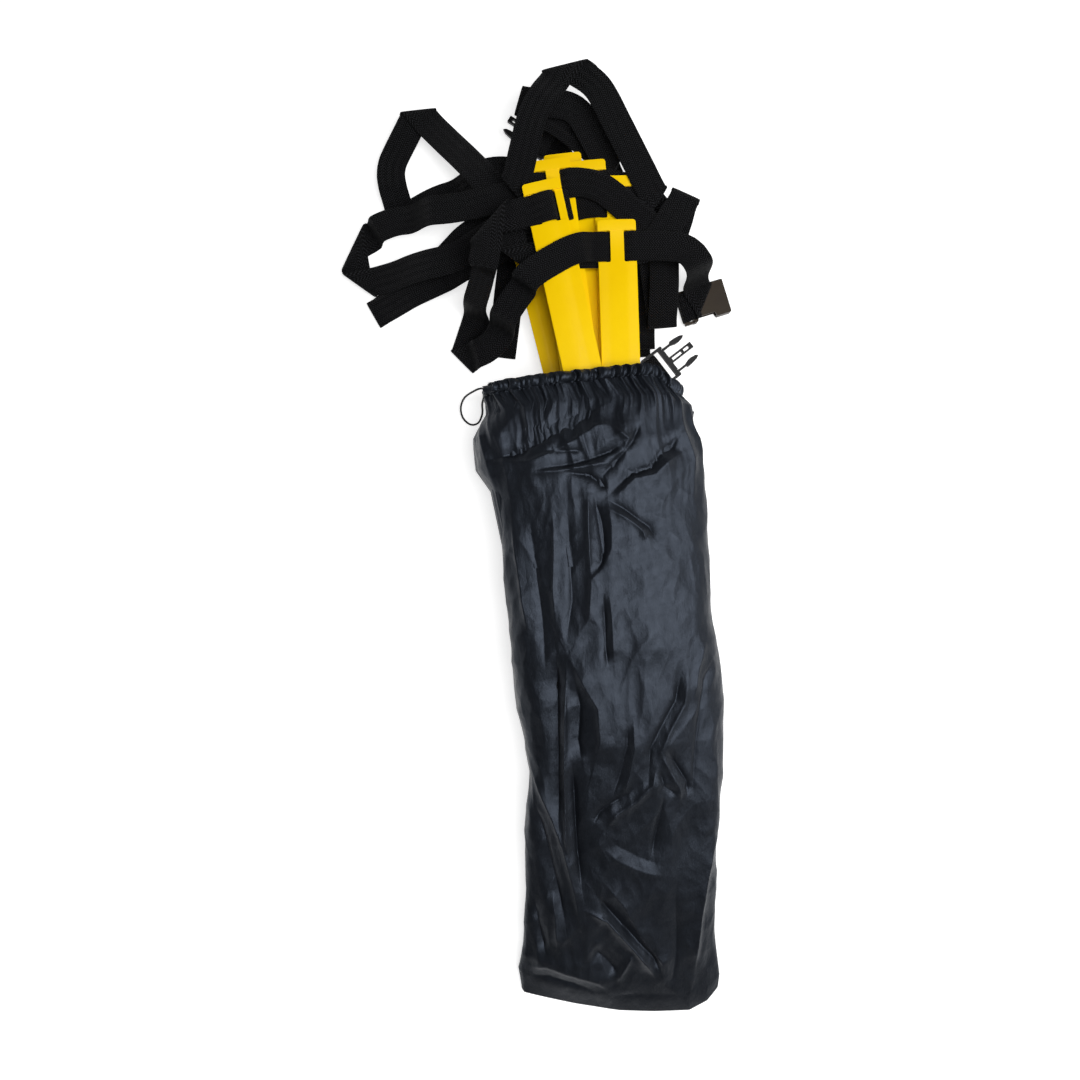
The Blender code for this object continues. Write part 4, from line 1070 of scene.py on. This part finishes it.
def section_places(angles, along, inset):
    """The bag's rounded section between its photographed edges, at each angle."""
    left, right, height, lean, bow, set_back = row_values(along)
    cosines = np.cos(angles)
    sines = np.sin(angles)
    powers = np.where(sines >= 0, 2 / BAG_TOP_POWER, 2 / BAG_FLOOR_POWER)
    sides = np.sign(cosines) * np.abs(cosines) ** powers
    rises = np.sign(sines) * np.abs(sines) ** powers
    middle = (left + right) / 2
    half = (right - left) / 2
    x = middle + (half - inset) * sides
    z = height / 2 + (height / 2 - inset) * rises - BAG_FLOOR_CUT
    y = along + lean * x - bow * np.maximum(0, 1 - ((x - middle) / half) ** 2)
    y -= set_back * smooth_share(x / right, SET_BACK_SHARE, 1.0)
    to_end = 1 - smooth_share(along, BAG_END, BAG_END + END_REACH)
    y = y * (1 - to_end) + (np.interp(x, *END_LINE) + along - BAG_END) * to_end
    return np.stack((x, y, np.maximum(z, inset)), axis=1)


def plain_ring(along, inset, past_rim):
    """One ring of the bag's plain skin, its points evenly spaced but fewer on the floor."""
    dense = np.linspace(0, 2 * math.pi, DENSE_ANGLES + 1)
    places = section_places(dense, along, inset)
    steps = np.linalg.norm(np.diff(places, axis=0), axis=1)
    steps = np.where(np.sin(dense[1:]) < 0, steps * FLOOR_DENSITY_SHARE, steps)
    run = np.concatenate(([0.0], np.cumsum(steps)))
    wanted = np.linspace(0, run[-1], BAG_ROUND, endpoint=False)
    ring = section_places(np.interp(wanted, run, dense), along, inset)
    ring[:, 1] += past_rim
    return ring


def photo_pixels(places):
    """Where places are seen in the photograph, in its pixels."""
    x = places[..., 0] - EYE_X
    y = places[..., 1] - EYE_Y
    k = EYE_HEIGHT / (EYE_HEIGHT - places[..., 2]) / PIXEL
    across = x * math.cos(EYE_TURN) - y * math.sin(EYE_TURN)
    down = -x * math.sin(EYE_TURN) - y * math.cos(EYE_TURN)
    return np.stack((PHOTO_HALF + across * k, PHOTO_HALF + down * k), axis=-1)


def fold_heights(places):
    """How far the creases lift or sink the skin."""
    here = photo_pixels(places)
    lift = np.zeros(here.shape[:-1])
    for depth, width, other_width, way in FOLDS:
        corners = np.array(way, float)
        nearest = np.full(lift.shape, np.inf)
        total = np.zeros(lift.shape)
        widths = np.full(lift.shape, float(width))
        stretches = len(corners) - 1
        for index in range(stretches):
            run = corners[index + 1] - corners[index]
            share = np.clip((here - corners[index]) @ run / (run @ run), 0, 1)
            away = here - corners[index] - share[..., None] * run
            distance = np.linalg.norm(away, axis=-1)
            closer = distance < nearest
            nearest = np.where(closer, distance, nearest)
            total = np.where(closer, (index + share) / stretches, total)
            side = run[0] * away[..., 1] - run[1] * away[..., 0]
            widths = np.where(closer, np.where(side > 0, width, other_width), widths)
        taper = smooth_share(total, 0.0, FOLD_TAPER) * smooth_share(1 - total, 0.0, FOLD_TAPER)
        shape = np.exp(-nearest / (widths * FOLD_WIDTH_SCALE))
        lift += depth * FOLD_UNIT * shape * (FOLD_END_SHARE + (1 - FOLD_END_SHARE) * taper)
    return lift


def noise_at(places, scales, seed):
    """Smooth noise at each place, between about -1 and 1."""
    scaled = (places * np.array(scales)).reshape(-1, 3)
    values = [noise.noise(Vector((x, y, z + seed))) for x, y, z in scaled.tolist()]
    return np.array(values).reshape(places.shape[:-1])


def ridges(places, height, scales, seed, steepness=RIDGE_STEEPNESS):
    """Sharp ridges, which lie where smooth noise changes its sign."""
    return height * (1 - steepness * np.abs(noise_at(places, scales, seed)))


def on_sheet(around, along):
    return np.stack((around, along, np.zeros(around.shape)), axis=-1)


def gathers(around, from_rim):
    """Uneven pleats under the drawn mouth, which run together and fade along the bag."""
    sheet = on_sheet(around, from_rim)
    sheet[..., 0] += PLEAT_SWAY * noise_at(sheet, *PLEAT_WAVES)
    lift = ridges(sheet, *TIGHT_PLEATS) * np.exp(-from_rim / TIGHT_REACH)
    lift += ridges(sheet, *MIDDLE_PLEATS) * np.exp(-from_rim / MIDDLE_REACH)
    reach = np.exp(-((from_rim / WIDE_REACH) ** 2)) * smooth_share(from_rim, *WIDE_START)
    return lift + ridges(sheet, *WIDE_PLEATS) * reach


def crumples(places):
    """Creases of thin cloth: sharp little ridges, longer along the bag than across it."""
    moved = places + noise_at(places, *CRUMPLE_WAVES)[..., None] * np.array(CRUMPLE_SWAY)
    lift = ridges(moved, *LONG_CRUMPLES) + ridges(moved @ np.array(SLANT), *SLANTED_CRUMPLES)
    lift += ridges(moved, *FINE_CRUMPLES)
    return lift + SWELL * noise_at(places, *SWELL_WAVES)


def bag_rows():
    """Each ring's place along the bag, how far it is past the rim and how far set in."""
    plain = [(along, 0.0, 0.0) for along in np.linspace(BAG_END, BAG_RIM, BAG_ROWS + 1)]
    hem = [(BAG_RIM, past * HEM_UNIT, inset * HEM_UNIT) for past, inset in HEM_PROFILE]
    return plain + hem


def bag_skin():
    """The skin's rings with their gathers and creases, and how far round each point is."""
    rows = bag_rows()
    plain = np.array(
        [plain_ring(along + min(past, 0.0), inset, max(past, 0.0)) for along, past, inset in rows]
    )
    before = np.roll(plain, 1, axis=1)
    tangents = np.roll(plain, -1, axis=1) - before
    out = np.stack((tangents[..., 2], np.zeros(plain.shape[:2]), -tangents[..., 0]), axis=-1)
    out /= np.linalg.norm(out, axis=-1)[..., None] + np.finfo(float).tiny
    steps = np.linalg.norm(plain - before, axis=-1)
    steps[:, 0] = 0.0
    around = np.cumsum(steps, axis=1)
    alongs, pasts, insets = np.array(rows).T[..., None] + np.zeros(around.shape)
    from_rim = np.maximum(BAG_RIM - alongs - np.minimum(pasts, 0.0), 0.0)
    upper = smooth_share(plain[..., 2], *UPPER_SIDE)
    lift = gathers(around, from_rim) * upper
    hem = (pasts != 0) | (insets != 0)
    ruffle = ridges(on_sheet(around, from_rim + pasts), *HEM_RUFFLE)
    facing = np.maximum(out[..., 2], 0.0) * smooth_share(plain[..., 2], *CREASED_SIDE)
    creases = fold_heights(plain) * facing
    creases += crumples(plain) * smooth_share(from_rim, *CRUMPLE_START)
    lift += np.where(hem, ruffle, creases) * upper
    moved = plain + out * np.maximum(lift, -DEEPEST_FOLD)[..., None]
    moved[..., 2] = np.maximum(moved[..., 2], insets / 2)
    return moved, around / WEAVE_UNIT, (alongs + pasts) / WEAVE_UNIT


def make_bag(material):
    shape = bmesh.new()
    weave = shape.loops.layers.uv.new("weave")
    rings = [
        [(shape.verts.new(place), run, height) for place, run, height in zip(*ring)]
        for ring in zip(*(part.tolist() for part in bag_skin()))
    ]
    join_rings(shape, rings, weave)
    shape.faces.new([corner[0] for corner in reversed(rings[0])])
    bmesh.ops.recalc_face_normals(shape, faces=shape.faces)
    bag = add_mesh("bag_skin", shape)
    paint(bag, material)
    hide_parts("bag_body", "cord_channel")
    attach(bag, "bag")


# Drawcord

HEM_CORD_STEPS = 2
FREE_CORD_STEPS = 3


def hem_place(step):
    """A place in the hem, by steps from its lower end round the mouth to its upper end."""
    angle = math.radians(180 + 360 * (CHANNEL_MOUTH_STEPS + step) / BAG_SIDES)
    place = Vector(section_places(np.array([angle]), BAG_RIM, CHANNEL_THICK / 2)[0].tolist())
    place.y += HEM_GAP + CHANNEL_LENGTH / 2
    return place


def smooth_way(places, steps):
    """A curve through the places, so many points to each stretch."""
    way = []
    last = len(places) - 1
    for i in range(last):
        before = places[max(i - 1, 0)]
        here = places[i]
        following = places[i + 1]
        beyond = places[min(i + 2, last)]
        for step in range(steps):
            t = step / steps
            way.append(
                (
                    here * 2
                    + (following - before) * t
                    + (before * 2 - here * 5 + following * 4 - beyond) * t**2
                    + (here * 3 - before - following * 3 + beyond) * t**3
                )
                / 2
            )
    way.append(places[-1])
    return way


def cord_curve(name, places, material):
    curve = bpy.data.curves.new(name, "CURVE")
    curve.dimensions = "3D"
    curve.bevel_depth = CORD_DIAMETER / 2
    curve.bevel_resolution = 2
    curve.use_fill_caps = True
    spline = curve.splines.new("POLY")
    spline.points.add(len(places) - 1)
    for point, place in zip(spline.points, places):
        point.co = (*place, 1.0)
    cord = add_object(name, curve)
    paint(cord, material)
    return cord


def make_cords(material):
    held = [hem_place(step) for step in range(BAG_SIDES - 2 * CHANNEL_MOUTH_STEPS + 1)]
    inner = cord_curve("cord_in_hem", smooth_way(held, HEM_CORD_STEPS), material)
    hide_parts("drawcord")
    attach(inner, "bag")
    upper_way = (held[-1] - held[-2]).normalized()
    lower_way = (held[0] - held[1]).normalized()
    upper = [held[-1] + upper_way * lead for lead in (FIT, CORD_LEAD)]
    lower = [held[0] + lower_way * lead for lead in (CORD_LEAD, FIT)]
    free = [Vector((across * GRID, along * GRID, up * GRID)) for across, along, up in CORD_LOOP]
    way = smooth_way([*upper, *free, *lower], FREE_CORD_STEPS)
    loop = cord_curve("cord_loop", way, material)
    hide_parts("drawcord_loop")
    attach(loop, "bag")


# Buckles keep their solids, with softened edges

BUCKLE_ROUND = 0.0004
BUCKLE_DEGREES = 40


def dress_buckles(material, socket_material):
    for name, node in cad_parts.items():
        if "plug" in name or "socket" in name:
            paint(node, socket_material if "socket" in name else material)
            round_edges(node, BUCKLE_ROUND, 2, BUCKLE_DEGREES)


# Floor and light


FLOOR_REACH = 6.0
FLOOR_DROP = 0.0005
FLOOR_GREY = 0.70
FLOOR_GLOW = 0.66
HORIZON_HEIGHTS = (0.08, 0.30)
HORIZON_STRENGTHS = (0.95, 0.07)
KEY_PLACE = (0.65, 0.00, 1.50)
KEY_TARGET = (0, 0.05, 0)
KEY_SIZE = (1.2, 1.8)
KEY_POWER = 34


def make_stage():
    """A pale floor that takes shadows and also glows where the eye or a mirror sees it."""
    shape = bmesh.new()
    bmesh.ops.create_grid(shape, x_segments=1, y_segments=1, size=FLOOR_REACH)
    floor = add_mesh("floor", shape)
    floor.location = (0, 0, -FLOOR_DROP)
    nodes = new_look("floor_paint", 0.1, roughness=0.9)
    set_inputs(nodes.shader, {"Base Color": (FLOOR_GREY, FLOOR_GREY, FLOOR_GREY, 1.0)})
    glow = nodes.add("ShaderNodeEmission")
    rays = nodes.add("ShaderNodeLightPath")
    seen = nodes.math("ADD", rays.outputs["Is Camera Ray"], rays.outputs["Is Glossy Ray"])
    seen = nodes.math("ADD", seen, rays.outputs["Is Transmission Ray"])
    nodes.link(nodes.math("MULTIPLY", seen, FLOOR_GLOW), glow.inputs["Strength"])
    both = nodes.add("ShaderNodeAddShader")
    nodes.link(nodes.shader.outputs[0], both.inputs[0])
    nodes.link(glow.outputs[0], both.inputs[1])
    nodes.link(both.outputs[0], nodes.tree.nodes["Material Output"].inputs["Surface"])
    paint(floor, nodes.owner)


def make_light():
    """A large lamp to the upper right, and a room that is pale at the horizon and dark above."""
    world = bpy.data.worlds.new("room")
    nodes = Nodes(world)
    split = nodes.add("ShaderNodeSeparateXYZ")
    nodes.link(nodes.add("ShaderNodeTexCoord").outputs["Generated"], split.inputs[0])
    strength = nodes.map_range(split.outputs["Z"], *HORIZON_HEIGHTS, *HORIZON_STRENGTHS)
    background = nodes.tree.nodes["Background"]
    background.inputs["Color"].default_value = (1, 1, 1, 1)
    nodes.link(strength, background.inputs["Strength"])
    bpy.context.scene.world = world
    light = bpy.data.lights.new("key", "AREA")
    light.shape = "RECTANGLE"
    light.size, light.size_y = KEY_SIZE
    light.energy = KEY_POWER
    key = add_object("key", light)
    key.location = KEY_PLACE
    way = Vector(KEY_TARGET) - Vector(KEY_PLACE)
    key.rotation_euler = way.to_track_quat("-Z", "Y").to_euler()
    bpy.context.scene.view_settings.view_transform = "Standard"


make_camera()
lays = [RungLay(*lay) for lay in RUNG_LAYS]
make_cords(cord_material())
yellow = yellow_plastic()
for number, lay in enumerate(lays, start=1):
    dress_rung(number, lay, yellow)
strap_look = webbing()
weave_strap("head_webbing", head_strap_ribbon(lays), "head_strap", strap_look)
weave_strap("foot_webbing", foot_strap_ribbon(lays), "foot_strap", strap_look)
plug_look = black_plastic("plug_plastic_look", (0.004, 0.004, 0.0045), (0.008, 0.008, 0.009))
socket_look = black_plastic("socket_plastic_look", (0.019, 0.012, 0.006), (0.028, 0.018, 0.009))
dress_buckles(plug_look, socket_look)
make_bag(nylon())
make_stage()
make_light()
